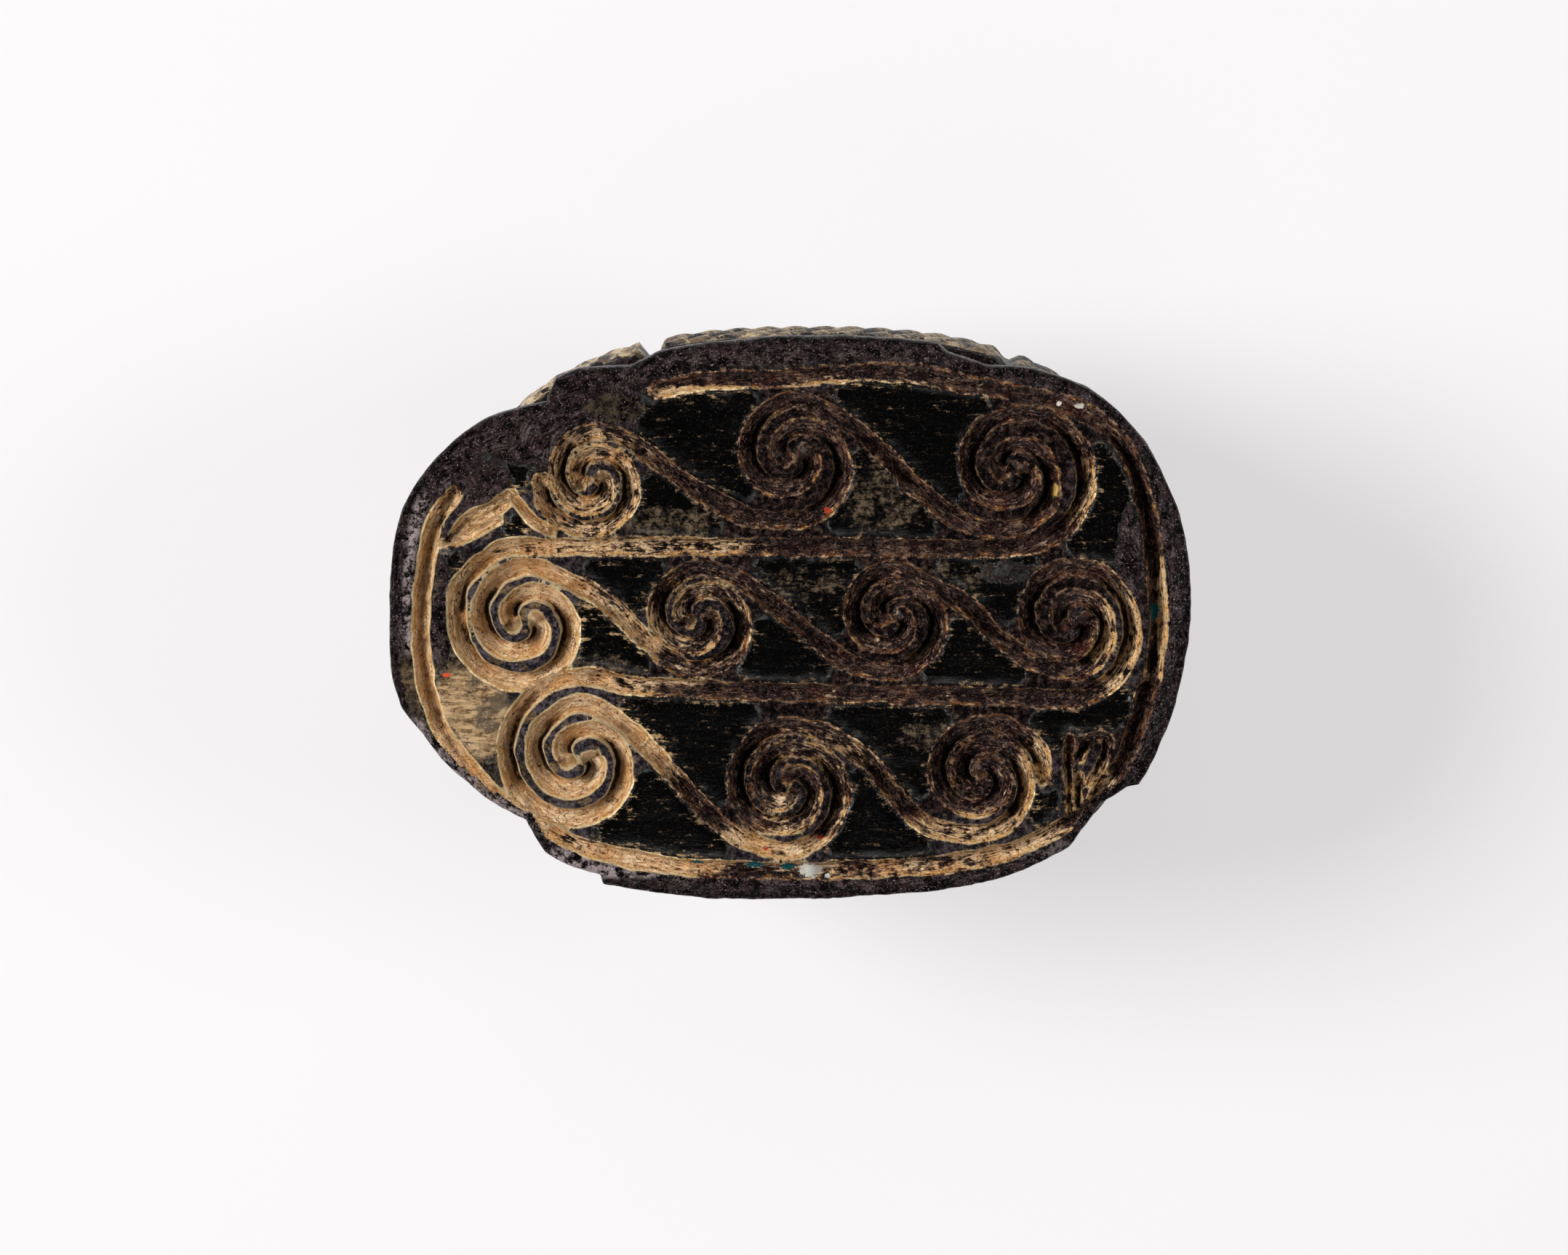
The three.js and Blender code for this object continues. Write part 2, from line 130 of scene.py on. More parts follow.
# The border furrow, clockwise from the worn upper left round to its other end.
BORDER = [
    (-3.3, 5.73), (-2, 5.98), (0, 6.03), (1.5, 6.18), (3, 6.16), (4, 5.98), (5, 5.78),
    (6.5, 5.48), (7.5, 5.08), (8.2, 4.48), (8.6, 3.68), (8.87, 2.78), (9.07, 1.58),
    (9.17, 0.28), (9.12, -0.92), (8.87, -1.92), (8.57, -2.92), (8.2, -3.72), (7.6, -4.52),
    (7.0, -5.06), (6, -5.62), (5, -5.96), (3.5, -6.18), (2, -6.28), (0, -6.32), (-2, -6.28),
    (-3, -6.2), (-4, -6.02), (-5, -5.76), (-6, -5.32), (-7.3, -4.48), (-8.1, -3.64),
    (-8.6, -2.92), (-9.0, -1.92), (-9.15, -0.92), (-9.2, 0.08), (-9.05, 1.58), (-8.8, 2.48),
    (-8.35, 3.14),
]

# Small leaf and bud cuts in the corners, narrower and shallower than the scroll.
BUD_CUTS = [
    [(-8.5, 1.95), (-8.0, 2.55), (-7.4, 2.85), (-7.0, 3.15)],
    [(-6.95, 3.2), (-6.68, 2.84), (-6.35, 2.48), (-6.0, 2.25)],
    [(-8.35, 1.95), (-7.75, 2.22), (-7.25, 2.5)],
    [(-8.4, 2.0), (-7.9, 2.38), (-7.35, 2.66), (-7.05, 2.9)],
    [(6.98, -2.95), (6.95, -3.9), (7.02, -5.0)],
    [(7.22, -3.9), (7.2, -4.4), (7.25, -5.0)],
    [(7.2, -3.5), (7.5, -3.0), (7.9, -3.0), (7.8, -3.6), (7.5, -4.1)],
    [(7.9, -3.9), (7.62, -4.3), (7.45, -4.9)],
]
BUD_SCALE = 0.62  # of the scroll's width and depth
CRUMB = (0.5, -6.32, 0.26, 0.17, 0.16)  # a grain stuck on the face: x, y, half sizes, height

# ---- how finely the mesh is made ----
# Rows of points along a furrow, as shares of its half width, positive inside the bend.
ROW_SHARES = (-1.35, -1.1, -1.0, -0.88, -0.64, -0.3, 0.0, 0.33, 0.6, 0.8, 0.94, 1.02, 1.35)
ROW_STRIDE = 4  # samples of a furrow from one point of a row to the next
ROW_ERROR = 0.012  # how far a row's point may be from where it belongs to be kept
FLAT_GAP = 0.12  # mm between the points of the flats
FLAT_JITTER = 0.2  # of that gap
FLAT_MARGIN = 0.16  # mm from a furrow's edge to the points of the flats
GRID_HALVES = (10.1, 7.3)  # half the length and width that those points are spread over
RING_MARGIN = 0.035  # mm from the face's outermost ring to the points inside it
MERGE_CELL = 0.02  # points of one such cell are merged
RIM_COLUMNS = 960
COLUMNS = np.arange(RIM_COLUMNS) * 360 / RIM_COLUMNS
FACE_INSET = 0.11  # mm from the rim to the face's outermost ring

# ---- the beetle ----
FLAT_SPOT = 0.2  # how much of the crown is worn flat
LUMPS = [  # centre x, z, half sizes x, y, z
    (2.25, 4.85, 7.2, 6.45, 4.85 + FLAT_SPOT),  # wing cases
    (-3.4, 4.9, 3.5, 6.2, 4.88),  # thorax
    (-6.3, 5.0, 2.65, 2.7, 3.1),  # head
    (-5.7, 5.3, 2.9, 4.9, 2.6),  # cheeks
]
FLANK = (9.1, 7.0, 2.6)  # half length, half width and power of the drum that has the legs
FLANK_X = 0.5
FLANK_LOW, FLANK_TOP, FLANK_ROUND = 4.35, 7.45, 0.7
CLYPEUS = (-7.7, 2.0, 2.7)  # centre x, reach and half width of the notched shovel
CLYPEUS_TEETH, CLYPEUS_NOTCH = 4, 0.3
CLYPEUS_LOW, CLYPEUS_TOP, CLYPEUS_ROUND = 5.65, 7.0, 0.18
THORAX_EDGE = -1.75  # where the wing cases begin, on the crown
NECK = -6.15  # where the thorax begins, on the crown
LEG_GAPS = ((-3.45, 0.5), (5.5, 0.2))  # x and depth of the gaps between the legs
LEG_PITCH, LEG_LEAN, LEG_DEPTH = 0.72, 32, 0.24
LEG_LOW, LEG_HIGH = 4.7, 6.95
BORE_Z, BORE_SIDES = 4.75, 40
BORE_RADII = [  # x and radius, wider at the worn mouths
    (-12, 1.35), (-9.3, 1.06), (-8.6, 0.98), (0, 0.93), (8.6, 0.98), (9.2, 1.06), (12, 1.3),
]

# ---- the stone's skins and stains ----
# Where the black skin is worn to tan: x, y, half sizes and strength.
PALE = [
    (-6.9, -0.3, 2.3, 2.2, 1.0), (-9.1, 0.4, 0.6, 3.0, 1.0), (-5.4, -3.5, 2.5, 2.2, 1.0),
    (-8.0, -2.5, 1.5, 1.4, 1.0), (-4.3, -6.1, 2.9, 0.5, 0.85), (-7.6, -4.2, 1.2, 1.0, 1.0),
    (2.6, -6.3, 2.9, 0.36, 0.36), (-0.5, -5.75, 2.0, 0.5, 0.6), (-5.0, 3.3, 1.6, 1.6, 0.48),
    (-7.3, 2.6, 1.4, 1.0, 0.95), (-6.2, 1.85, 2.4, 0.36, 0.6), (-2.8, 1.85, 2.3, 0.3, 0.42),
    (-3.5, -1.56, 1.9, 0.16, 0.5), (-2.2, 0.0, 1.4, 1.4, 0.26), (4.9, -5.3, 2.2, 0.5, 0.5),
    (6.2, -4.1, 0.6, 1.2, 0.55), (8.2, -0.7, 0.7, 1.5, 0.5), (7.5, -4.2, 0.7, 0.9, 0.42),
    (9.3, 0.0, 0.16, 1.6, 0.7), (1.1, -3.2, 1.4, 0.7, 0.28), (-2.1, 5.68, 1.4, 0.17, 0.85),
    (1.8, 5.86, 1.7, 0.15, 0.6), (7.3, 3.2, 0.5, 1.1, 0.34), (0.4, -4.9, 1.4, 0.6, 0.3),
    (-3.9, -0.4, 1.0, 0.8, 0.62), (5.4, -5.75, 2.2, 0.4, 0.6),
]
# Flats that have gone olive, with the same five numbers.
OLIVE = [
    (-9.55, -2.1, 0.45, 1.3, 0.75), (-8.9, -4.0, 0.5, 0.7, 0.55), (-8.0, -2.4, 1.25, 1.5, 0.85),
    (2.25, 3.05, 1.2, 0.9, 0.42), (-8.2, -0.9, 0.5, 1.0, 0.5), (-4.3, 5.3, 0.8, 0.4, 0.6),
    (-4.6, -1.3, 0.9, 0.5, 0.5), (-7.0, -4.1, 0.8, 0.7, 0.6), (3.6, -2.9, 0.9, 0.4, 0.45),
    (-3.2, 2.4, 1.4, 0.45, 0.45), (0.4, 0.9, 1.2, 0.5, 0.35), (4.3, 1.1, 1.0, 0.4, 0.35),
]
# Flats that kept a rough grey-black crust instead of a polish, with the same five numbers.
CRUST = [
    (-8.75, 0.2, 0.42, 1.5, 1.0), (-6.0, 4.9, 2.2, 1.1, 1.0), (-8.0, 3.3, 1.2, 0.8, 0.9),
    (-4.3, 5.35, 0.7, 0.6, 0.9), (8.5, 1.6, 0.4, 1.4, 0.7), (7.2, 0.0, 0.6, 0.5, 0.8),
    (-1.5, 1.2, 1.0, 0.3, 0.5), (5.4, 1.2, 0.9, 0.35, 0.5), (-5.8, 2.9, 0.4, 1.0, 0.6),
]
# Small stains and specks: x, y, half sizes, and which colour of STAIN_COLOURS.
STAINS = [
    (-0.9, -6.18, 0.26, 0.10, "turquoise"), (-0.05, -6.22, 0.19, 0.10, "turquoise"),
    (-2.3, -6.12, 0.18, 0.05, "turquoise"), (9.1, 0.18, 0.10, 0.28, "turquoise"),
    (-8.55, -1.37, 0.12, 0.05, "red"), (0.95, 2.73, 0.10, 0.07, "red"),
    (-0.6, -5.79, 0.08, 0.05, "red"), (0.75, -5.52, 0.07, 0.06, "red"),
    (7.2, 5.33, 0.11, 0.08, "white"), (6.7, 5.38, 0.07, 0.06, "white"),
    (6.6, 3.23, 0.10, 0.18, "yellow"),
    (0.5, -6.32, 0.30, 0.20, "grey"), (0.95, -6.47, 0.07, 0.05, "grey"),
]
STAIN_COLOURS = {
    "turquoise": (14, 84, 90), "red": (176, 62, 34), "white": (226, 218, 206),
    "yellow": (206, 168, 92), "grey": (206, 202, 192),
}
BUMP_HEIGHT = 0.08  # mm that a bump of 1 is high

# ---- the studio ----
FLOOR_HALF = 600  # mm
FLOOR_COLOUR, FLOOR_GLOW, FLOOR_GLOW_STRENGTH = (133, 131, 131), (255, 253, 254), 0.56
LIGHTS = [  # name, place and diameter in metres, watts
    ("left", (-0.30, 0.08, 0.25), 0.2, 3.1), ("right", (0.32, 0.02, 0.25), 0.2, 0.95),
    ("top", (0.0, 0.30, 0.36), 0.26, 0.32), ("bottom", (0.0, -0.30, 0.36), 0.26, 0.26),
]
LIGHT_TARGET = (0, 0, 0.006)
SKY_COLOUR, SKY_STRENGTH = (1.0, 0.99, 0.995, 1), 0.03
VIEW_WIDTH = 39.05  # mm of the sealing face's plane that the image spans
VIEW_MIDDLE = (-0.145, -0.184)  # place on that plane at the image's middle
VIEW_TILT = 7.0  # degrees that the camera leans towards +Y
LENS, SENSOR = 200.0, 36.0


def stack(*columns):
    """Columns side by side, where a single number fills a whole column."""
    return np.stack(np.broadcast_arrays(*columns), axis=-1)


# ---- curves ----

def super_radius(shape, degrees):
    """Radius of a superellipse in a direction, or in each direction of an array."""
    a, b, power = shape
    x, y = np.abs(np.cos(np.radians(degrees))), np.abs(np.sin(np.radians(degrees)))
    return ((x / a) ** power + (y / b) ** power) ** (-1 / power)


def rim_radius(degrees):
    angles, losses = zip(*RIM_LOSS)
    return super_radius(FACE, degrees) - np.interp(np.mod(degrees, 360), angles, losses)


def smooth(edge0, edge1, x):
    t = np.clip((x - edge0) / (edge1 - edge0), 0, 1)
    return t * t * (3 - 2 * t)


def arm_radius(radii, quarters):
    """Radius between quarter turns, on a smooth curve through the given radii."""
    i = min(int(quarters), len(radii) - 2)
    f = quarters - i
    before = radii[i - 1] if i else 2 * radii[0] - radii[1]
    after = radii[i + 2] if i < len(radii) - 2 else 2 * radii[i + 1] - radii[i]
    slopes = (radii[i + 1] - before) / 2, (after - radii[i]) / 2
    return (radii[i] * (1 - f) ** 2 * (1 + 2 * f) + radii[i + 1] * f * f * (3 - 2 * f)
            + slopes[0] * f * (1 - f) ** 2 - slopes[1] * f * f * (1 - f))


def arm_points(name, leads_out):
    x, y, start, out, into = SPIRALS[name]
    radii = out if leads_out else into
    first = start if leads_out else start + 180
    points = []
    for i in range((len(radii) - 1) * ARM_STEPS + 1):
        turn = math.radians(first + 90 * i / ARM_STEPS)
        r = arm_radius(radii, i / ARM_STEPS)
        points.append((x + r * math.cos(turn), y - r * math.sin(turn)))
    return points


def centripetal(points, per=12):
    """A centripetal Catmull-Rom curve through the points."""
    p = np.array([2 * np.array(points[0]) - points[1], *points,
                  2 * np.array(points[-1]) - points[-2]], float)
    made = []
    for quad in zip(p, p[1:], p[2:], p[3:]):
        knots = np.cumsum([0, *(np.linalg.norm(b - a) ** 0.5 for a, b in zip(quad, quad[1:]))])
        t = np.linspace(knots[1], knots[2], per, endpoint=False)[:, None]

        def between(a, b, i, j):
            span = knots[j] - knots[i]
            return (knots[j] - t) / span * a + (t - knots[i]) / span * b

        a, b, c = (between(quad[i], quad[i + 1], i, i + 1) for i in range(3))
        made.append(between(between(a, b, 0, 2), between(b, c, 1, 3), 1, 2))
    return np.vstack([*made, [points[-1]]])


def resample(curve, step):
    """Even samples along a curve: places, unit tangents and lengths from its start."""
    lengths = np.concatenate([[0], np.cumsum(np.linalg.norm(np.diff(curve, axis=0), axis=1))])
    s = np.linspace(0, lengths[-1], max(4, int(lengths[-1] / step)))
    places = np.stack([np.interp(s, lengths, curve[:, k]) for k in (0, 1)], axis=1)
    tangents = np.gradient(places, s, axis=0)
    return places, tangents / np.linalg.norm(tangents, axis=1)[:, None], s


def furrow_paths():
    """Every furrow's points, with the share of full width that it is cut at."""
    paths = [(arm_points(a, True) + via + arm_points(b, False)[::-1], 1.0) for a, b, via in LINKS]
    paths += [(arm_points("s1", False), 1.0), (arm_points("s10", True), 1.0), (BORDER, 1.0)]
    return paths + [(points, BUD_SCALE) for points in BUD_CUTS]


class Furrows:
    """All the furrows as samples, and what the nearest one is like at any place.

    A furrow leans: on the inside of a bend its wall is steep and its deepest line is close, and
    on the outside it slopes up slowly. d is the distance from the middle line, positive on the
    inside of the bend.
    """

    COLUMNS = "x y tx ty s end number lean inner outer deep".split()

    def __init__(self):
        rows = []
        for number, (points, scale) in enumerate(furrow_paths()):
            places, tangents, s = resample(centripetal(points), PATH_STEP)
            ends = np.minimum(s, s[-1] - s)
            spot = stack(s, number * 7.0, 0.0)
            turn = np.unwrap(np.arctan2(tangents[:, 1], tangents[:, 0]))
            kernel = np.hanning(15) / np.hanning(15).sum()
            bend = np.convolve(np.pad(np.gradient(turn, s), 7, mode="edge"), kernel, mode="valid")
            lean = np.tanh(1.4 * bend)
            share = np.abs(lean)
            half = FURROW_HALF * scale
            inner = 1 + 0.15 * noise(spot, 0.45, 3) + 0.06 * noise(spot, 0.2, 4)
            outer = 1 + 0.17 * noise(spot, 0.5, 5) + 0.07 * noise(spot, 0.2, 6)
            inner, outer = half * (1 - 0.08 * share) * inner, half * (1 + 0.17 * share) * outer
            deep = LOWEST * scale * (0.6 + 0.4 * smooth(-0.05, 0.25, ends))
            deep = deep * (1 + 0.18 * noise(spot, 0.8, 7) + 0.09 * noise(spot, 0.2, 8))
            deep = deep * (0.88 + 0.28 * tangents[:, 1] ** 2)
            rows.append(stack(*places.T, *tangents.T, s, ends, number, lean, inner, outer, deep))
        self.rows, self.samples = rows, np.vstack(rows)
        self.tree = kdtree.KDTree(len(self.samples))
        for i, (x, y) in enumerate(self.samples[:, :2]):
            self.tree.insert((x, y, 0), i)
        self.tree.balance()

    def named(self, samples):
        """Samples as one array for each column."""
        return SimpleNamespace(**dict(zip(self.COLUMNS, samples.T)))

    def nearest(self, x, y):
        """The nearest samples' columns, with d, u (1 at the edge) and edge (mm outside it)."""
        found = np.array([self.tree.find((a, b, 0))[1] for a, b in zip(x, y)])
        near = self.named(self.samples[found])
        dx, dy = x - near.x, y - near.y
        side = (near.tx * dy - near.ty * dx) * np.where(near.lean < 0, -1, 1)
        along = near.tx * dx + near.ty * dy
        distance = np.hypot(side, np.where(near.end < PATH_STEP, along, 0))
        near.d = np.copysign(distance, side)
        half = np.where(side > 0, near.inner, near.outer)
        near.u = distance / half
        near.edge = distance - half
        return near


# ---- noise ----

def noise(points, size, seed):
    """Smooth value noise from -1 to 1 at points (n, 3), with features of the given size."""
    p = np.asarray(points, float) / size
    cell = np.floor(p).astype(np.int64)
    f = p - cell
    f = f * f * (3 - 2 * f)
    total = np.zeros(len(p))
    for corner in np.ndindex(2, 2, 2):
        i = cell + corner
        n = i[:, 0] * 374761393 + i[:, 1] * 668265263 + i[:, 2] * 1274126177 + seed * 974634777
        n = (n ^ (n >> 13)) * 1103515245
        n = (n ^ (n >> 16)) & 0xFFFF
        weight = np.prod(np.where(corner, f, 1 - f), axis=1)
        total += weight * (n / 0x7FFF - 1)
    return total


def rough(points, size, seed, octaves=3):
    return sum(noise(points, size / 2 ** k, seed + k) / 2 ** k for k in range(octaves)) / 1.6


def blobs(rows, x, y):
    """The strongest of some soft elliptical patches at each place."""
    best = np.zeros(len(x))
    for cx, cy, a, b, strength in rows:
        inside = 1 - np.hypot((x - cx) / a, (y - cy) / b)
        best = np.maximum(best, strength * smooth(-0.3, 0.35, inside))
    return best


# ---- the sealing face's relief ----

def lowest_line(near):
    """Where a furrow is deepest, from its middle line towards the inside of the bend."""
    return 0.62 * np.abs(near.lean) * near.inner


def furrow_cut(near):
    """Depth of the furrows, from what Furrows.nearest gives."""
    share = np.abs(near.lean)
    lowest = lowest_line(near)
    over = near.d - lowest
    reach = np.where(over > 0, near.inner - lowest, near.outer + lowest)
    power = np.where(over > 0, 2.4 + 1.2 * share, 2.4 - 1.0 * share)
    return near.deep * (1 - np.clip(np.abs(over) / reach, 0, 1) ** power)


def slot(near):
    """How much painted shade, with some dirt, falls in a furrow's lowest line and by the steep
    wall beside it, from 0 to 1.
    """
    share = np.abs(near.lean)
    over = near.d - lowest_line(near)
    close = np.where(over > 0, smooth(1.12, 0.9, near.u), np.exp(-(over / 0.075) ** 2))
    middle = np.exp(-(near.d / 0.07) ** 2)
    # The shade is painted stronger where a furrow runs along Y, across the light of the left and
    # right lamps.
    return (share * close + (1 - share) * 0.32 * middle) * (0.3 + 0.7 * near.ty ** 2)


def rim_inside(x, y):
    """How far a place is inside the rim, measured towards the middle."""
    return rim_radius(np.degrees(np.arctan2(y, x))) - np.hypot(x, y)


def rim_normal(degrees):
    a, b, power = FACE
    r = super_radius(FACE, degrees)
    x, y = r * math.cos(math.radians(degrees)) / a, r * math.sin(math.radians(degrees)) / b
    return math.atan2(math.copysign(abs(y) ** (power - 1) / b, y),
                      math.copysign(abs(x) ** (power - 1) / a, x))


def break_depth(x, y):
    """Depth of the slopes that broken pieces left along the rim."""
    depth = np.zeros(len(x))
    for at, inset, fall, width in RIM_BREAKS:
        turn = rim_normal(at)
        r = super_radius(FACE, at) - inset
        dx, dy = x - r * math.cos(math.radians(at)), y - r * math.sin(math.radians(at))
        out = dx * math.cos(turn) + dy * math.sin(turn)
        across = np.abs(dy * math.cos(turn) - dx * math.sin(turn)) - width / 2
        fallen = out * math.tan(math.radians(fall)) - np.maximum(across, 0) * 2.5
        depth = np.maximum(depth, fallen)
    return depth


def relief(x, y, near):
    """How far the face lies below its highest plane at each place."""
    flat = stack(x, y, 0.0)
    cut = furrow_cut(near)
    inside = rim_inside(x, y)
    edge = near.edge
    ridge = smooth(0.2, 0.05, np.abs(edge)) * (edge > 0)
    worn = 0.012 * (1 + rough(flat, 2.2, 21)) + 0.02 * ridge * (1 + noise(flat, 0.3, 22))
    worn = worn + 0.008 * np.maximum(0, noise(flat * (0.35, 4.0, 1), 0.5, 23))
    arris = smooth(0.05, 0.0, edge) * 0.016 * (1 + 0.9 * noise(flat, 0.12, 24))
    tool = stack(near.s * 0.22, near.d, near.number * 7.0)
    floor = 0.03 * rough(flat, 0.2, 25, 2) + 0.03 * noise(tool, 0.09, 27)
    floor = floor * smooth(0.0, 0.2, cut)
    broken = break_depth(x, y)
    uneven = 0.09 * rough(flat, 0.9, 31) + 0.03 * noise(flat, 0.2, 35)
    broken = broken + smooth(0, 0.25, broken) * uneven
    rolled = 0.12 * smooth(0.5, 0.0, inside) + 0.06 * smooth(0.95, 0.0, inside)
    sizes = ((0.7, 36, 1.0), (0.33, 37, 0.6), (0.17, 38, 0.3))
    crags = sum(share * np.abs(noise(flat, size, seed)) for size, seed, share in sizes)
    lumpy = smooth(0.95, 0.6, inside) * 0.11 * crags
    chipped = 0.12 * smooth(0.2, 0.7, noise(flat, 0.5, 33)) * smooth(0.45, 0.1, inside)
    base = np.maximum(worn + arris + rolled + lumpy + chipped, broken)
    depth = np.maximum((cut + floor) * smooth(0.3, 0.0, broken - cut), base)
    return np.maximum(depth, 0.002) - crumb_height(x, y)


def crumb_height(x, y):
    """The grain of sand that sits fast in the lower border furrow."""
    cx, cy, a, b, height = CRUMB
    across = 1 - ((x - cx) / a) ** 2 - ((y - cy) / b) ** 2
    return height * np.sqrt(np.maximum(across, 0))


# ---- the mesh ----

def face_points(furrows):
    """Places across the face: in rows along the furrows, and wide on the flats."""
    rows = []
    for samples in furrows.rows:
        own = furrows.named(samples[::ROW_STRIDE])
        flip = np.where(own.lean < 0, -1, 1)
        for k, share in enumerate(ROW_SHARES):
            wide = np.where(share > 0, own.inner, own.outer) * share
            shift = PATH_STEP * ROW_STRIDE / 2 * (k % 2)
            x = own.x + own.tx * shift - own.ty * wide * flip
            y = own.y + own.ty * shift + own.tx * wide * flip
            rows.append(stack(x, y, np.abs(wide)))
    cuts = np.vstack(rows)
    off = np.abs(np.abs(furrows.nearest(*cuts[:, :2].T).d) - cuts[:, 2])
    cuts = cuts[off < ROW_ERROR][:, :2]
    rng = np.random.default_rng(7)
    gap = FLAT_GAP
    (a, b), row_gap = GRID_HALVES, gap * 0.87
    gx, gy = np.meshgrid(np.arange(-a, a, gap), np.arange(-b, b, row_gap))
    gx = gx + (np.arange(gx.shape[0]) % 2 * gap / 2)[:, None]
    jitter = rng.uniform(-FLAT_JITTER, FLAT_JITTER, (gx.size, 2)) * gap
    grid = stack(gx.ravel(), gy.ravel()) + jitter
    grid = grid[furrows.nearest(*grid.T).edge > FLAT_MARGIN]
    places = np.vstack([cuts, grid])
    turn = np.degrees(np.arctan2(places[:, 1], places[:, 0]))
    ring_radius = np.interp(turn, COLUMNS, np.hypot(*face_ring().T), period=360)
    places = places[np.hypot(*places.T) < ring_radius - RING_MARGIN]
    cells = np.round(places / MERGE_CELL).astype(np.int64)
    _, first = np.unique(cells[:, 0] * 100000 + cells[:, 1], return_index=True)
    return places[np.sort(first)]


def face_ring():
    """The face's outermost points, where it turns down into the plate's edge."""
    return plate_ring(COLUMNS, HEIGHT, FACE_INSET)[:, :2]


def rim_wave(columns, z):
    """Small unevenness of the rim at a height, as mm added to its radius."""
    turn = np.radians(columns)
    spots = stack(10 * np.cos(turn), 7.1 * np.sin(turn), z)
    return 0.045 * rough(spots, 0.9, 41) + 0.012 * noise(spots, 0.14, 44) - 0.02


def ellipsoid(p, x, z, a, b, c):
    """Roughly the distance outside an ellipsoid."""
    q = p - (x, 0, z)
    k0 = np.linalg.norm(q / (a, b, c), axis=1)
    k1 = np.linalg.norm(q / (a * a, b * b, c * c), axis=1)
    return k0 * (k0 - 1) / np.maximum(k1, 1e-6)


def slab(side, z, low, high, rounding):
    """Distance outside an upright slab, from the distance to its side, with rounded edges."""
    side = side + rounding
    level = np.abs(z - (low + high) / 2) - (high - low) / 2 + rounding
    outside = np.hypot(np.maximum(side, 0), np.maximum(level, 0))
    return outside + np.minimum(np.maximum(side, level), 0) - rounding


def drum(p):
    """Roughly the distance outside the flank's rounded drum."""
    a, b, power = FLANK
    q = np.abs(p - (FLANK_X, 0, 0))
    around = ((q[:, 0] / a) ** power + (q[:, 1] / b) ** power) ** (1 / power)
    return slab((around - 1) * min(a, b), p[:, 2], FLANK_LOW, FLANK_TOP, FLANK_ROUND)


def clypeus(p):
    """Roughly the distance outside the head's notched shovel."""
    middle, reach, half = CLYPEUS
    x, y = (p[:, 0] - middle) / reach, p[:, 1] / half
    wave = np.abs(np.sin(np.arctan2(y, -x) * CLYPEUS_TEETH))
    notch = CLYPEUS_NOTCH / reach * (1 - smooth(0.0, 0.6, wave))
    side = (np.hypot(x, y) - 1 + notch) * reach
    return slab(side, p[:, 2], CLYPEUS_LOW, CLYPEUS_TOP, CLYPEUS_ROUND)


def soft_min(a, b, reach):
    """The smaller of two distances, blended where they differ by less than reach."""
    share = np.clip(0.5 + 0.5 * (b - a) / reach, 0, 1)
    return b * (1 - share) + a * share - reach * share * (1 - share)


def groove(distance, half, depth):
    """A rounded line carved where distance is near zero."""
    return depth * smooth(half, half * 0.15, np.abs(distance))


def leg_carving(p):
    """The slanting cuts of the legs, on the flank's band."""
    x, y, z = p.T
    lean = np.where(x < LEG_GAPS[0][0], -1, 1) * math.tan(math.radians(LEG_LEAN))
    middle = (LEG_LOW + LEG_HIGH) / 2
    phase = (x + (z - middle) * lean) / LEG_PITCH
    saw = np.abs(phase - np.round(phase)) * 2
    cuts = LEG_DEPTH * (1 - np.sqrt(1 - (1 - saw) ** 2))
    band = smooth(LEG_LOW - 0.1, LEG_LOW + 0.25, z) * smooth(LEG_HIGH + 0.1, LEG_HIGH - 0.25, z)
    band = band * smooth(9.0, 8.3, x) * smooth(-8.1, -7.5, x)
    gaps = sum(groove(x - gap, half=0.36, depth=depth) for gap, depth in LEG_GAPS)
    gaps = gaps * smooth(FLANK_LOW - 0.8, FLANK_LOW - 0.1, z)
    edges = sum(groove(z - level, half=0.13, depth=0.07) for level in (LEG_LOW, LEG_HIGH))
    sides = smooth(3.2, 4.2, np.abs(y))
    return (np.maximum(cuts * band, gaps) + edges * 0.8) * sides


def back_carving(p):
    """The lines of the back: seam, collar, neck, shoulder nicks and the flank's upper line."""
    x, y, z = p.T
    low = smooth(4.2, 3.6, z)
    behind = smooth(THORAX_EDGE, THORAX_EDGE + 0.15, x)
    seam = groove(np.abs(y) - 0.11, half=0.10, depth=0.12) * behind * low
    bow = x - THORAX_EDGE - 0.012 * y * y
    collar = groove(bow, half=0.16, depth=0.16) * low
    second = groove(bow - 0.42, half=0.10, depth=0.07) * low
    neck = groove(x - NECK - 0.05 * y * y, half=0.16, depth=0.14)
    neck = neck * smooth(4.2, 3.4, np.abs(y)) * low
    along = np.clip((x - THORAX_EDGE - 0.2) / 1.5, 0, 1)
    away = np.hypot(x - (THORAX_EDGE + 0.2 + 1.5 * along), np.abs(y) - (4.3 + 0.7 * along))
    nicks = groove(away, half=0.17, depth=0.15) * low
    eaves = groove(z - FLANK_LOW - 0.05, half=0.3, depth=0.26)
    eaves = eaves * smooth(5.0, 6.2, np.hypot(x - FLANK_X, y))
    return np.maximum.reduce([seam, collar, second, neck, nicks, eaves])


def head_carving(p):
    """Two lines that part the brow from the shovel."""
    x, y, z = p.T
    brow = groove(x + 7.55 + 0.10 * y * y, half=0.13, depth=0.12)
    fork = groove(np.abs(y) - 0.55 - 0.35 * (x + 8.6), half=0.10, depth=0.09)
    lines = np.maximum(brow, fork * smooth(-7.5, -7.8, x))
    return lines * smooth(3.0, 2.4, np.abs(y)) * smooth(6.6, 6.0, z)


def carving(p):
    """Depth of every line that is cut into the beetle."""
    return leg_carving(p) + back_carving(p) + head_carving(p)


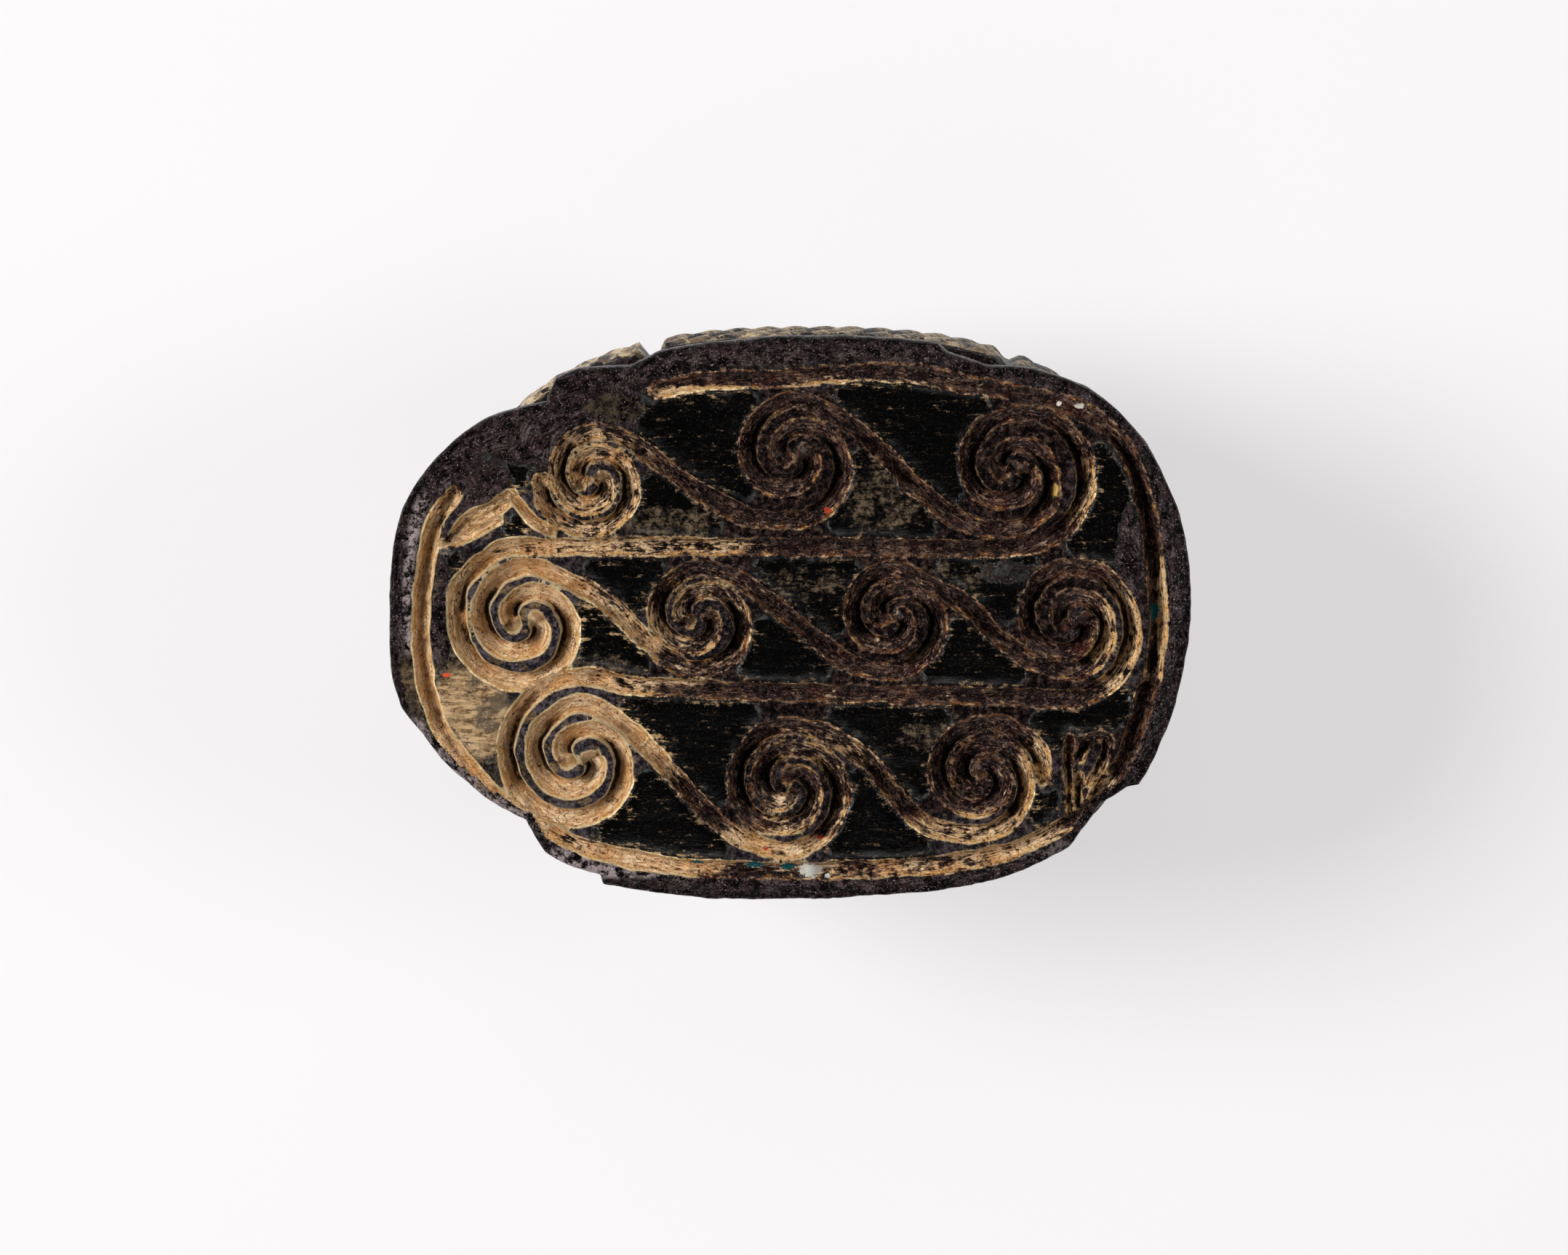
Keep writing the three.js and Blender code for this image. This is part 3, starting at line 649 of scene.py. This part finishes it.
def beetle(p):
    """Roughly the distance outside the beetle below the plate."""
    wings, thorax, head, cheeks = (ellipsoid(p, *lump) for lump in LUMPS)
    back = soft_min(wings, thorax, 0.12)
    front = soft_min(soft_min(head, clypeus(p), 0.25), cheeks, 0.15)
    body = soft_min(soft_min(back, front, 0.12), drum(p), 0.15)
    wear = 0.02 * rough(p, 1.3, 51) + 0.006 * noise(p, 0.18, 55)
    return body + carving(p) + wear


def cast(origin, directions, reach=13.0, steps=64, halvings=18):
    """Outermost crossing of the beetle's surface along each ray, as a distance."""
    near = np.zeros(len(directions))
    seeking = np.arange(len(directions))
    for t in reach * (1 - np.arange(1, steps + 1) / steps):
        hit = beetle(origin + directions[seeking] * t) < 0
        near[seeking[hit]] = t
        seeking = seeking[~hit]
        if not len(seeking):
            break
    far = near + reach / steps
    for _ in range(halvings):
        middle = (near + far) / 2
        inside = beetle(origin + directions * middle[:, None]) < 0
        near = np.where(inside, middle, near)
        far = np.where(inside, far, middle)
    return near


def ring(columns, level, lift):
    """A ring of the beetle's surface: rays from the axis at a height, raised by some degrees."""
    turn = np.radians(columns)
    up = math.radians(lift)
    directions = stack(np.cos(turn) * math.cos(up), np.sin(turn) * math.cos(up), math.sin(up))
    origin = np.array((0.0, 0.0, level))
    points = origin + directions * cast(origin, directions)[:, None]
    points[:, 2] = np.maximum(points[:, 2], 0)
    return points


def plate_ring(columns, z, inset):
    r = rim_radius(columns) + rim_wave(columns, z) - inset
    turn = np.radians(columns)
    return stack(r * np.cos(turn), r * np.sin(turn), z)


def side_rings():
    """Rings from under the face's edge down the plate and the beetle to near the crown."""
    fine, middle, coarse = COLUMNS, COLUMNS[::2], COLUMNS[::4]
    bottom = HEIGHT - PLATE
    rings = [plate_ring(fine, HEIGHT - fall, inset) for fall, inset in
             ((0.17, 0.03), (0.24, 0.0), (0.33, 0.0), (0.44, 0.0), (0.56, 0.0))]
    rings += [plate_ring(middle, z, 0.2 * (HEIGHT - 0.6 - z))
              for z in np.linspace(HEIGHT - 0.7, bottom + 0.25, 7)]
    rings += [plate_ring(middle, bottom + 0.12, 0.22), plate_ring(middle, bottom + 0.03, 0.28)]
    under = ring(middle, bottom - 0.06, 0)
    ledge = plate_ring(middle, bottom, 0.34)
    rings += [ledge * (1 - f) + under * f for f in (0.0, 0.5)]
    levels = np.concatenate([[bottom - 0.06], np.arange(bottom - 0.14, 4.0, -0.095)])
    rings += [ring(middle, level, 0) for level in levels]
    lifts = -np.concatenate([np.arange(1.5, 46, 1.45), np.arange(47, 88.6, 2.3)])
    rings += [ring(middle if lift > -50 else coarse, 3.98, lift) for lift in lifts]
    return rings


def hull_pocket(corners, ring_points):
    """Whether a triangle lies outside the ring, in one of its hollows."""
    x, y = corners.mean(axis=0)
    turn = math.degrees(math.atan2(y, x)) % 360 / 360 * RIM_COLUMNS
    i = int(turn) % RIM_COLUMNS
    a, b = ring_points[i], ring_points[(i + 1) % RIM_COLUMNS]
    return (b[0] - a[0]) * (y - a[1]) - (b[1] - a[1]) * (x - a[0]) < 0


def stitch(outer, inner):
    """Triangles between two rings of vertex numbers, where inner has as many or half as many."""
    faces = []
    after = inner[1:] + inner[:1]
    if len(outer) == len(inner):
        for a, b, c, d in zip(outer, inner, after, outer[1:] + outer[:1]):
            faces += [(a, b, c), (a, c, d)]
        return faces
    for i, j, a, b, c in zip(inner, after, outer[::2], outer[1::2], outer[2::2] + outer[:1]):
        faces += [(i, b, a), (i, j, b), (j, c, b)]
    return faces


def seal_mesh(furrows):
    """The whole seal as points in mm and triangles."""
    flat = [Vector(v) for v in np.vstack([face_ring(), face_points(furrows)])]
    above = list(range(RIM_COLUMNS))
    made, _, triangles, *_ = delaunay_2d_cdt(flat, [], [above], 1, 1e-6, False)
    xy = np.array([tuple(v) for v in made])
    rim = xy[:RIM_COLUMNS]
    faces = [tuple(t) for t in triangles
             if min(t) >= RIM_COLUMNS or not hull_pocket(xy[list(t)], rim)]
    depth = relief(*xy.T, furrows.nearest(*xy.T))
    points = [stack(*xy.T, HEIGHT - depth)]
    count = len(xy)
    for rows in side_rings():
        numbers = list(range(count, count + len(rows)))
        faces += stitch(above, numbers)
        points.append(rows)
        count += len(rows)
        above = numbers
    points.append(np.array([[0.0, 0.0, points[-1][:, 2].min()]]))
    faces += [(a, count, b) for a, b in zip(above, above[1:] + above[:1])]
    return np.vstack(points), faces


def placed(name, data):
    """A new object in the scene's collection."""
    item = bpy.data.objects.new(name, data)
    bpy.context.collection.objects.link(item)
    return item


def new_object(name, points, faces):
    """An object in the scene, from points in mm."""
    mesh = bpy.data.meshes.new(name)
    mesh.from_pydata([tuple(v) for v in np.array(points) * MM], [], faces)
    mesh.validate()
    mesh.update()
    return placed(name, mesh)


def bore_cutter():
    """A string hole, drilled from both ends and worn wider at its mouths."""
    turns = [2 * math.pi * i / BORE_SIDES for i in range(BORE_SIDES)]
    points = [(x, r * math.cos(t), BORE_Z + r * math.sin(t)) for x, r in BORE_RADII for t in turns]
    rings = np.arange(len(points)).reshape(-1, BORE_SIDES).tolist()
    faces = [rings[0][::-1], rings[-1]]
    for a, b in zip(rings, rings[1:]):
        faces += zip(a, a[1:] + a[:1], b[1:] + b[:1], b)
    return new_object("bore_cutter", points, faces)


def drill(piece):
    cutter = bore_cutter()
    cut = piece.modifiers.new("bore", "BOOLEAN")
    cut.operation = "DIFFERENCE"
    cut.solver = "MANIFOLD"
    cut.object = cutter
    graph = bpy.context.evaluated_depsgraph_get()
    drilled = bpy.data.meshes.new_from_object(piece.evaluated_get(graph))
    piece.modifiers.clear()
    piece.data = drilled
    bpy.data.objects.remove(cutter)


def set_attribute(mesh, name, values, kind="FLOAT", key="value"):
    layer = mesh.attributes.new(name, kind, "POINT")
    layer.data.foreach_set(key, np.ascontiguousarray(values, dtype=np.float32).ravel())


def dress(mesh, furrows):
    """Write what the material reads at each point, and return the names of the shares."""
    points = np.empty(len(mesh.vertices) * 3, np.float32)
    mesh.vertices.foreach_get("co", points)
    x, y, z = points = (points.reshape(-1, 3) / MM).astype(float).T
    inside = rim_inside(x, y)
    on_face = (z > HEIGHT - 1.3) & (inside > 0.2 - 0.16 * (z > HEIGHT - 0.16))
    near = furrows.nearest(x, y)
    open_flat = on_face & (near.edge > 0.27)
    tree = kdtree.KDTree(int(open_flat.sum()))
    for i, k in enumerate(np.flatnonzero(open_flat)):
        tree.insert((x[k], y[k], 0), i)
    tree.balance()
    to_flat = np.array([tree.find((a, b, 0))[2] if f else 9 for a, b, f in zip(x, y, on_face)])
    lines = np.where(z < HEIGHT - PLATE, carving(points.T), 0)
    band = smooth(LEG_LOW - 0.2, LEG_LOW + 0.1, z) * smooth(HEIGHT - PLATE, LEG_HIGH, z)
    shares = {
        "edge": np.where(on_face, np.clip(near.edge, -1, 1), 1),
        # Painted shade, with some dirt, in the furrows' lowest lines.
        "slot": np.where(on_face, slot(near), 0),
        "bend": np.abs(near.lean),
        "ridge": smooth(0.28, 0.5, to_flat),
        "broken": np.where(on_face, smooth(0.02, 0.15, break_depth(x, y)), 0),
        "face": on_face,
        "inside": np.clip(inside, 0, 2),
        "pale": blobs(PALE, x, y) * (z > HEIGHT - 1.3),
        "olive": blobs(OLIVE, x, y) * on_face,
        "crust": blobs(CRUST, x, y) * on_face,
        "carved": np.clip(lines / 0.15, 0, 1),
        "flank": band * 0.75,
    }
    for name, values in shares.items():
        set_attribute(mesh, name, values)
    track = stack(near.s, near.d, near.number * 3.7 + z)
    set_attribute(mesh, "track", track, "FLOAT_VECTOR", "vector")
    return list(shares)


# ---- material ----

def linear(*colour):
    """An sRGB colour of 0 to 255 as linear RGBA."""
    shares = (c / 255 for c in colour)
    return (*(((c + 0.055) / 1.055) ** 2.4 if c > 0.04045 else c / 12.92 for c in shares), 1)


class Nodes:
    """A material in the making, by short calls. It also keeps the stone's patterns by name."""

    def __init__(self, name):
        self.material = bpy.data.materials.new(name)
        self.material.use_nodes = True
        self.tree = self.material.node_tree
        self.tree.nodes.clear()

    def put(self, socket, value):
        if isinstance(value, bpy.types.NodeSocket):
            self.tree.links.new(value, socket)
        else:
            socket.default_value = value

    def add(self, kind, *values, **inputs):
        """A node with its first inputs given in order and others by name."""
        node = self.tree.nodes.new("ShaderNode" + kind)
        for socket, value in zip(node.inputs, values):
            self.put(socket, value)
        for name, value in inputs.items():
            self.put(node.inputs[name.replace("_", " ")], value)
        return node

    def surface(self, **inputs):
        """The finished material."""
        shader = self.add("BsdfPrincipled", **inputs)
        self.add("OutputMaterial", Surface=shader.outputs["BSDF"])
        return self.material

    def attribute(self, name, output="Fac"):
        node = self.add("Attribute")
        node.attribute_name = name
        return node.outputs[output]

    def math(self, operation, *values):
        node = self.add("Math", *values)
        node.operation = operation
        return node.outputs[0]

    def total(self, *values):
        return reduce(lambda a, b: self.math("ADD", a, b), values)

    def product(self, *values):
        return reduce(lambda a, b: self.math("MULTIPLY", a, b), values)

    def largest(self, *values):
        return reduce(lambda a, b: self.math("MAXIMUM", a, b), values)

    def rest(self, value):
        """What a share leaves of 1."""
        return self.math("SUBTRACT", 1.0, value)

    def varied(self, value, **gains):
        """A value with some of the noises added, each about its middle of 0.5."""
        for name, gain in gains.items():
            swing = self.math("SUBTRACT", getattr(self, name), 0.5)
            value = self.total(value, self.product(swing, gain))
        return value

    def vectors(self, operation, a, b):
        node = self.add("VectorMath", a, b)
        node.operation = operation
        return node.outputs

    def scaled(self, vector, factors):
        return self.vectors("MULTIPLY", vector, factors)["Vector"]

    def noise(self, vector, scale, detail, roughness, distortion=0.0):
        return self.add("TexNoise", Vector=vector, Scale=scale, Detail=detail,
                        Roughness=roughness, Distortion=distortion).outputs["Fac"]

    def step(self, value, low, high, to_low=0.0, to_high=1.0, **gains):
        """A smooth step of a value, which some of the noises may vary."""
        node = self.add("MapRange", self.varied(value, **gains), low, high, to_low, to_high)
        node.interpolation_type = "SMOOTHSTEP"
        return node.outputs[0]

    def nearest_spot(self, rows):
        """Distance to the nearest spot's middle, where 1 is that spot's outline."""
        nearest = 9.0
        for x, y, a, b, _ in rows:
            stretched = self.scaled(self.place, (1 / a, 1 / b, 0))
            away = self.vectors("DISTANCE", stretched, (x / a, y / b, 0))["Value"]
            nearest = self.math("MINIMUM", away, nearest)
        return nearest

    def blend(self, factor, a, b, kind="FLOAT"):
        node = self.add("Mix")
        node.data_type = kind
        for name, value in (("Factor", factor), ("A", a), ("B", b)):
            self.put(node.inputs[name], value)
        return node.outputs["Result"]

    def mix(self, factor, a, b):
        """A mix of two colours, each a socket or an sRGB colour."""
        a, b = (linear(*c) if isinstance(c, tuple) else c for c in (a, b))
        return self.blend(factor, a, b, "RGBA")

    def layers(self, colour, *rows):
        """A colour with others laid over it in turn, as pairs of a factor and a colour."""
        for factor, shade in rows:
            colour = self.mix(factor, colour, shade)
        return colour


def stone_patterns(n, shares):
    """The attributes and noises that the stone's colours and bumps are worked out from."""
    for name in shares:
        setattr(n, name, n.attribute(name))
    n.place = n.scaled(n.add("TexCoord").outputs["Object"], (1 / MM, 1 / MM, 1 / MM))
    track = n.attribute("track", "Vector")
    n.fibres = n.noise(n.scaled(track, (2.0, 11, 1)), 1.6, 5, 0.7, 0.5)
    n.streaks = n.noise(n.scaled(track, (3.4, 24, 1)), 1.5, 4, 0.68, 0.8)
    n.scuffs = n.noise(n.scaled(n.place, (1.3, 6.0, 3)), 1.5, 5, 0.72)
    n.blotch = n.noise(n.place, 0.9, 4, 0.6)
    n.mottle = n.noise(n.place, 2.6, 5, 0.62)
    n.cloud = n.noise(n.place, 6.5, 5, 0.7)
    n.grain = n.noise(n.place, 21, 3, 0.7)
    n.grit = n.noise(n.place, 34, 2, 0.8)
    n.specks = n.step(n.grain, 0.60, 0.70)

    shake = n.add("TexNoise", Vector=n.place, Scale=5.0).outputs["Color"]
    shaken = n.vectors("ADD", n.scaled(track, (3.6, 6.4, 1)), n.scaled(shake, (1.5, 1.5, 0)))
    cells = n.add("TexVoronoi", Vector=shaken["Vector"], Scale=1.3)
    cells.feature = "DISTANCE_TO_EDGE"
    n.cracks = n.step(cells.outputs["Distance"], 0.045, 0.01)

    # Thin wavy wrinkles: raised a little in the bump, and painted pale as glint lines on the rim
    # and in the brown furrows.
    wavy = n.noise(n.scaled(track, (1.1, 4.2, 2.6)), 1.3, 4, 0.68, 0.7)
    lines = n.step(n.math("ABSOLUTE", n.math("SUBTRACT", wavy, 0.5)), 0.04, 0.008)
    n.wrinkles = n.product(lines, n.face, n.step(n.mottle, 0.42, 0.56))


def stone_zones(n):
    """Shares from 0 to 1 of what each place on the stone is."""
    upper = n.step(n.edge, -0.13, -0.06, cloud=0.16)
    n.bevel = n.product(upper, n.step(n.edge, 0.02, -0.01), n.step(n.mottle, 0.40, 0.58))
    n.worn = n.step(n.total(n.pale, n.product(n.bevel, 0.14)), 0.26, 0.66,
                    cloud=1.1, fibres=2.0, mottle=1.5)
    n.cut = n.step(n.edge, 0.0, -0.03, cloud=0.14, grit=0.08)

    crusted = n.step(n.crust, 0.35, 0.7, cloud=0.8)
    rimward = n.step(n.inside, 0.92, 0.55, cloud=0.6)
    n.rough = n.largest(rimward, crusted, n.broken)
    n.polished = n.product(n.face, n.rest(n.rough), n.rest(n.ridge))

    close = n.total(n.product(n.step(n.edge, 0.34, 0.0), 0.36), n.product(n.pale, 0.12))
    fibrous = n.product(n.step(close, 0.46, 0.9, scuffs=3.0, cloud=2.2, grit=0.8),
                        n.rest(n.product(n.ridge, 0.85)), n.step(n.inside, 0.5, 0.9),
                        n.rest(crusted))
    scuffed = n.step(n.pale, 1.08, 1.22, mottle=1.8, cloud=0.8)
    n.frayed = n.largest(fibrous, n.product(scuffed, n.ridge, 0.9))

    line = n.product(n.step(n.edge, 0.02, -0.005), n.step(n.edge, -0.06, -0.03))
    n.arris = n.product(line, n.step(n.total(n.cloud, n.product(n.pale, 0.12)), 0.47, 0.62))


def tan_stone(n):
    """Bare stone: tan with paler and yellower clouds, dark streaks, cracks and grit, and painted
    shade turning orange and then near black along the furrow's lowest line.
    """
    return n.layers(
        n.mix(n.step(n.fibres, 0.36, 0.60), (184, 134, 88), (236, 200, 154)),
        (n.step(n.mottle, 0.52, 0.66, 0, 0.7), (242, 216, 178)),
        (n.step(n.cloud, 0.56, 0.66, 0, 0.4), (200, 156, 132)),
        (n.step(n.blotch, 0.48, 0.64, 0, 0.6), (198, 134, 66)),
        (n.step(n.streaks, 0.56, 0.66, 0, 0.75), (112, 70, 42)),
        (n.product(n.bevel, 0.85), (202, 148, 74)),
        (n.product(n.cracks, n.step(n.mottle, 0.43, 0.53)), (78, 46, 28)),
        (n.product(n.step(n.grain, 0.42, 0.34), 0.6), (110, 74, 46)),
        # Painted shade, with some dirt: orange-brown and then near black along the lowest line.
        (n.step(n.slot, 0.15, 0.50, 0, 0.6, cloud=0.8), (150, 96, 48)),
        (n.step(n.slot, 0.42, 0.66, 0, 0.97, cloud=0.8), (26, 13, 8)))


def brown_stone(n):
    """Furrows that kept their dark brown, with pale streaks along them where they bend, painted
    glint lines, and painted shade in black along the lowest line.
    """
    streaks = n.step(n.streaks, 0.58, 0.66, cloud=0.8)
    return n.layers(
        n.mix(n.step(n.fibres, 0.40, 0.62), (1, 0, 0), (36, 17, 15)),
        (n.product(streaks, n.blend(n.bend, 0.3, 1.0)), (158, 120, 102)),
        (n.step(n.blotch, 0.55, 0.70, 0, 0.5), (70, 26, 20)),
        (n.product(n.bevel, n.step(n.mottle, 0.44, 0.60, 0, 0.7)), (112, 62, 26)),
        (n.product(n.specks, 0.55), (160, 132, 128)),
        # Painted glint lines, pale along the wavy wrinkles.
        (n.product(n.wrinkles, 0.4), (150, 118, 100)),
        # Painted shade, with some dirt, in black along the lowest line.
        (n.step(n.slot, 0.26, 0.50, 0, 0.97, cloud=0.5), (2, 0, 0)))


def ridge_skin(n):
    """The dark tops between the furrows, greyer where the furrows beside them are worn."""
    dark = n.layers(
        n.mix(n.step(n.cloud, 0.42, 0.60), (3, 1, 2), (40, 26, 25)),
        (n.step(n.streaks, 0.60, 0.68, 0, 0.7, cloud=0.8), (112, 86, 70)),
        (n.product(n.specks, 0.5), (118, 100, 96)))
    grey = n.layers(
        n.mix(n.step(n.cloud, 0.42, 0.60), (26, 21, 26), (84, 76, 82)),
        (n.product(n.specks, 0.6), (156, 146, 148)))
    return n.mix(n.product(n.pale, n.ridge), dark, grey)


def crust_skin(n):
    """The rough rim, sides and back, with painted glint lines, and a painted highlight where the
    left lamp catches the rim's worn left end.
    """
    # A painted highlight on the rim's worn left end, where the left lamp falls.
    rim_highlight = n.product(n.step(n.pale, 0.45, 0.9), n.step(n.inside, 0.7, 0.45),
                      n.step(n.mottle, 0.42, 0.58, 0, 0.9, cloud=0.9))
    return n.layers(
        n.mix(n.step(n.cloud, 0.42, 0.66, mottle=0.4), (5, 2, 3), (56, 40, 42)),
        (n.step(n.mottle, 0.56, 0.70, 0, 0.35), (62, 45, 38)),
        (n.product(n.specks, 0.9), (184, 164, 160)),
        # Painted glint lines.
        (n.product(n.wrinkles, 0.3), (156, 138, 138)),
        (rim_highlight, (176, 160, 158)))


def rubbed_field(n):
    """Flats whose polish has rubbed off: dull and brown-black, or olive tan where worn most."""
    field = n.layers(
        n.mix(n.step(n.cloud, 0.40, 0.62), (76, 58, 38), (138, 112, 80)),
        (n.step(n.scuffs, 0.44, 0.60), (168, 140, 104)),
        (n.step(n.blotch, 0.52, 0.60, 0, 0.85), (62, 54, 46)),
        (n.product(n.specks, 0.5), (186, 166, 134)))
    dull = n.layers(
        n.mix(n.step(n.cloud, 0.40, 0.62), (26, 19, 16), (76, 64, 50)),
        (n.product(n.specks, 0.5), (146, 132, 112)))
    return n.mix(n.step(n.olive, 0.6, 0.95), dull, field)


def top_colour(n):
    """Everything outside the furrows: skins, frayed fibres and rubbed flats."""
    black = n.layers(
        n.mix(n.step(n.scuffs, 0.56, 0.72), (1, 1, 1), (30, 22, 18)),
        (n.product(n.specks, 0.2), (84, 72, 66)))
    skin = n.mix(n.largest(n.rough, n.rest(n.face)), ridge_skin(n), crust_skin(n))
    fibres = n.mix(n.step(n.pale, 0.25, 0.8),
                   n.mix(n.step(n.cloud, 0.38, 0.64), (30, 22, 17), (104, 84, 62)),
                   n.mix(n.step(n.scuffs, 0.38, 0.64), (70, 54, 38), (152, 124, 88)))
    rubbed = n.step(n.olive, 0.22, 0.68, cloud=1.0, scuffs=1.2, mottle=1.2)
    return n.layers(skin, (n.polished, black), (n.frayed, fibres), (rubbed, rubbed_field(n)))


def face_colour(n):
    """The sealing face: furrows in the top, with a bright arris along their edges and stains."""
    colour = n.mix(n.cut, top_colour(n), n.mix(n.worn, brown_stone(n), tan_stone(n)))
    arris = n.mix(n.worn, (176, 138, 106), (236, 208, 160))
    colour = n.mix(n.product(n.arris, n.blend(n.worn, 0.65, 0.75)), colour, arris)
    for name, shade in STAIN_COLOURS.items():
        rows = [row for row in STAINS if row[4] == name]
        spots = n.step(n.nearest_spot(rows), 1.05, 0.75, cloud=2.2, grain=1.0)
        colour = n.mix(n.product(n.face, spots), colour, shade)
    return colour


def side_colour(n, colour):
    """A colour with the beetle's sides on it: pale glaze, and dirt in the carved lines."""
    glaze = n.mix(n.step(n.mottle, 0.42, 0.6), (226, 202, 160), (128, 104, 80))
    patches = n.step(n.flank, 0.5, 0.75, blotch=3.2, mottle=2.2, cloud=1.6)
    dirt = n.layers(
        n.mix(n.step(n.cloud, 0.42, 0.6), (30, 24, 26), (72, 64, 60)),
        (n.step(n.mottle, 0.56, 0.66, 0, 0.8), (40, 92, 90)))
    return n.layers(colour, (n.product(patches, n.step(n.flank, 0.15, 0.4)), glaze),
                    (n.step(n.carved, 0.4, 0.75, cloud=1.0), dirt))


def stone_bump(n):
    """Tool lines in the furrows, lumps on the rough skins and faint scuffs on the polish."""
    lumps = n.varied(0.0, grain=0.7, cloud=2.2, grit=0.4)
    lines = n.varied(n.product(n.cracks, -0.3), fibres=1.6, streaks=1.0)
    polish = n.varied(n.product(lumps, 0.03), scuffs=0.12)
    rough = n.varied(n.total(n.product(lumps, 2.0), n.product(n.wrinkles, 0.4)), mottle=3.0)
    furrow = n.total(lines, n.product(lumps, 0.7))
    height = n.blend(n.cut, n.blend(n.polished, rough, polish), furrow)
    return n.add("Bump", Strength=1.0, Distance=BUMP_HEIGHT * MM, Height=height).outputs["Normal"]


def stone(shares):
    n = Nodes("steatite")
    stone_patterns(n, shares)
    stone_zones(n)
    matt = n.largest(n.cut, n.frayed, n.rest(n.polished), n.step(n.edge, 0.12, 0.05))
    glints = n.step(n.grain, 0.56, 0.68, cloud=0.5)
    return n.surface(
        Base_Color=side_colour(n, face_colour(n)), Normal=stone_bump(n),
        Roughness=n.blend(matt, n.blend(n.cloud, 0.06, 0.14), n.blend(n.cloud, 0.12, 0.40)),
        Specular_IOR_Level=n.blend(matt, 0.4, n.blend(glints, 0.12, 0.8)))


def make_seal():
    furrows = Furrows()
    piece = new_object("scarab_stone", *seal_mesh(furrows))
    drill(piece)
    piece.data.materials.clear()
    piece.data.materials.append(stone(dress(piece.data, furrows)))
    piece.data.polygons.foreach_set("use_smooth", np.ones(len(piece.data.polygons), bool))
    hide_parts(NODE)
    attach(piece, "root")
    return piece


# ---- stage, lights and camera ----

def make_floor():
    """A pale table with a soft glow of its own."""
    h = FLOOR_HALF
    floor = new_object("floor", [(-h, -h, 0), (h, -h, 0), (h, h, 0), (-h, h, 0)], [(0, 1, 2, 3)])
    floor.data.materials.append(Nodes("floor").surface(
        Base_Color=linear(*FLOOR_COLOUR), Roughness=0.9, Specular_IOR_Level=0.0,
        Emission_Color=linear(*FLOOR_GLOW), Emission_Strength=FLOOR_GLOW_STRENGTH))
    floor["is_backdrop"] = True


def make_lights():
    for name, place, size, power in LIGHTS:
        data = bpy.data.lights.new(name, "AREA")
        data.shape = "DISK"
        data.size = size
        data.energy = power
        light = placed(name, data)
        light.location = place
        aim = Vector(LIGHT_TARGET) - Vector(place)
        light.rotation_euler = aim.to_track_quat("-Z", "Y").to_euler()
    world = bpy.data.worlds.new("studio")
    world.use_nodes = True
    background = world.node_tree.nodes["Background"].inputs
    background["Color"].default_value = SKY_COLOUR
    background["Strength"].default_value = SKY_STRENGTH
    bpy.context.scene.world = world
    bpy.context.scene.view_settings.view_transform = "Standard"


def make_camera():
    data = bpy.data.cameras.new("camera")
    data.lens = LENS
    data.sensor_width = SENSOR
    data.clip_start = 0.01
    camera = placed("camera", data)
    lean = Matrix.Rotation(math.radians(-VIEW_TILT), 4, "X")
    away = lean @ Vector((0, 0, VIEW_WIDTH * MM * LENS / SENSOR))
    place = Vector((*VIEW_MIDDLE, HEIGHT)) * MM + away
    camera.matrix_world = Matrix.Translation(place) @ lean
    bpy.context.scene.camera = camera


make_camera()
make_seal()
make_floor()
make_lights()

bpy.context.view_layer.update()
as_lists = [[list(map(float, corner)) for corner in box] for box in (CAD_BOX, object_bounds())]
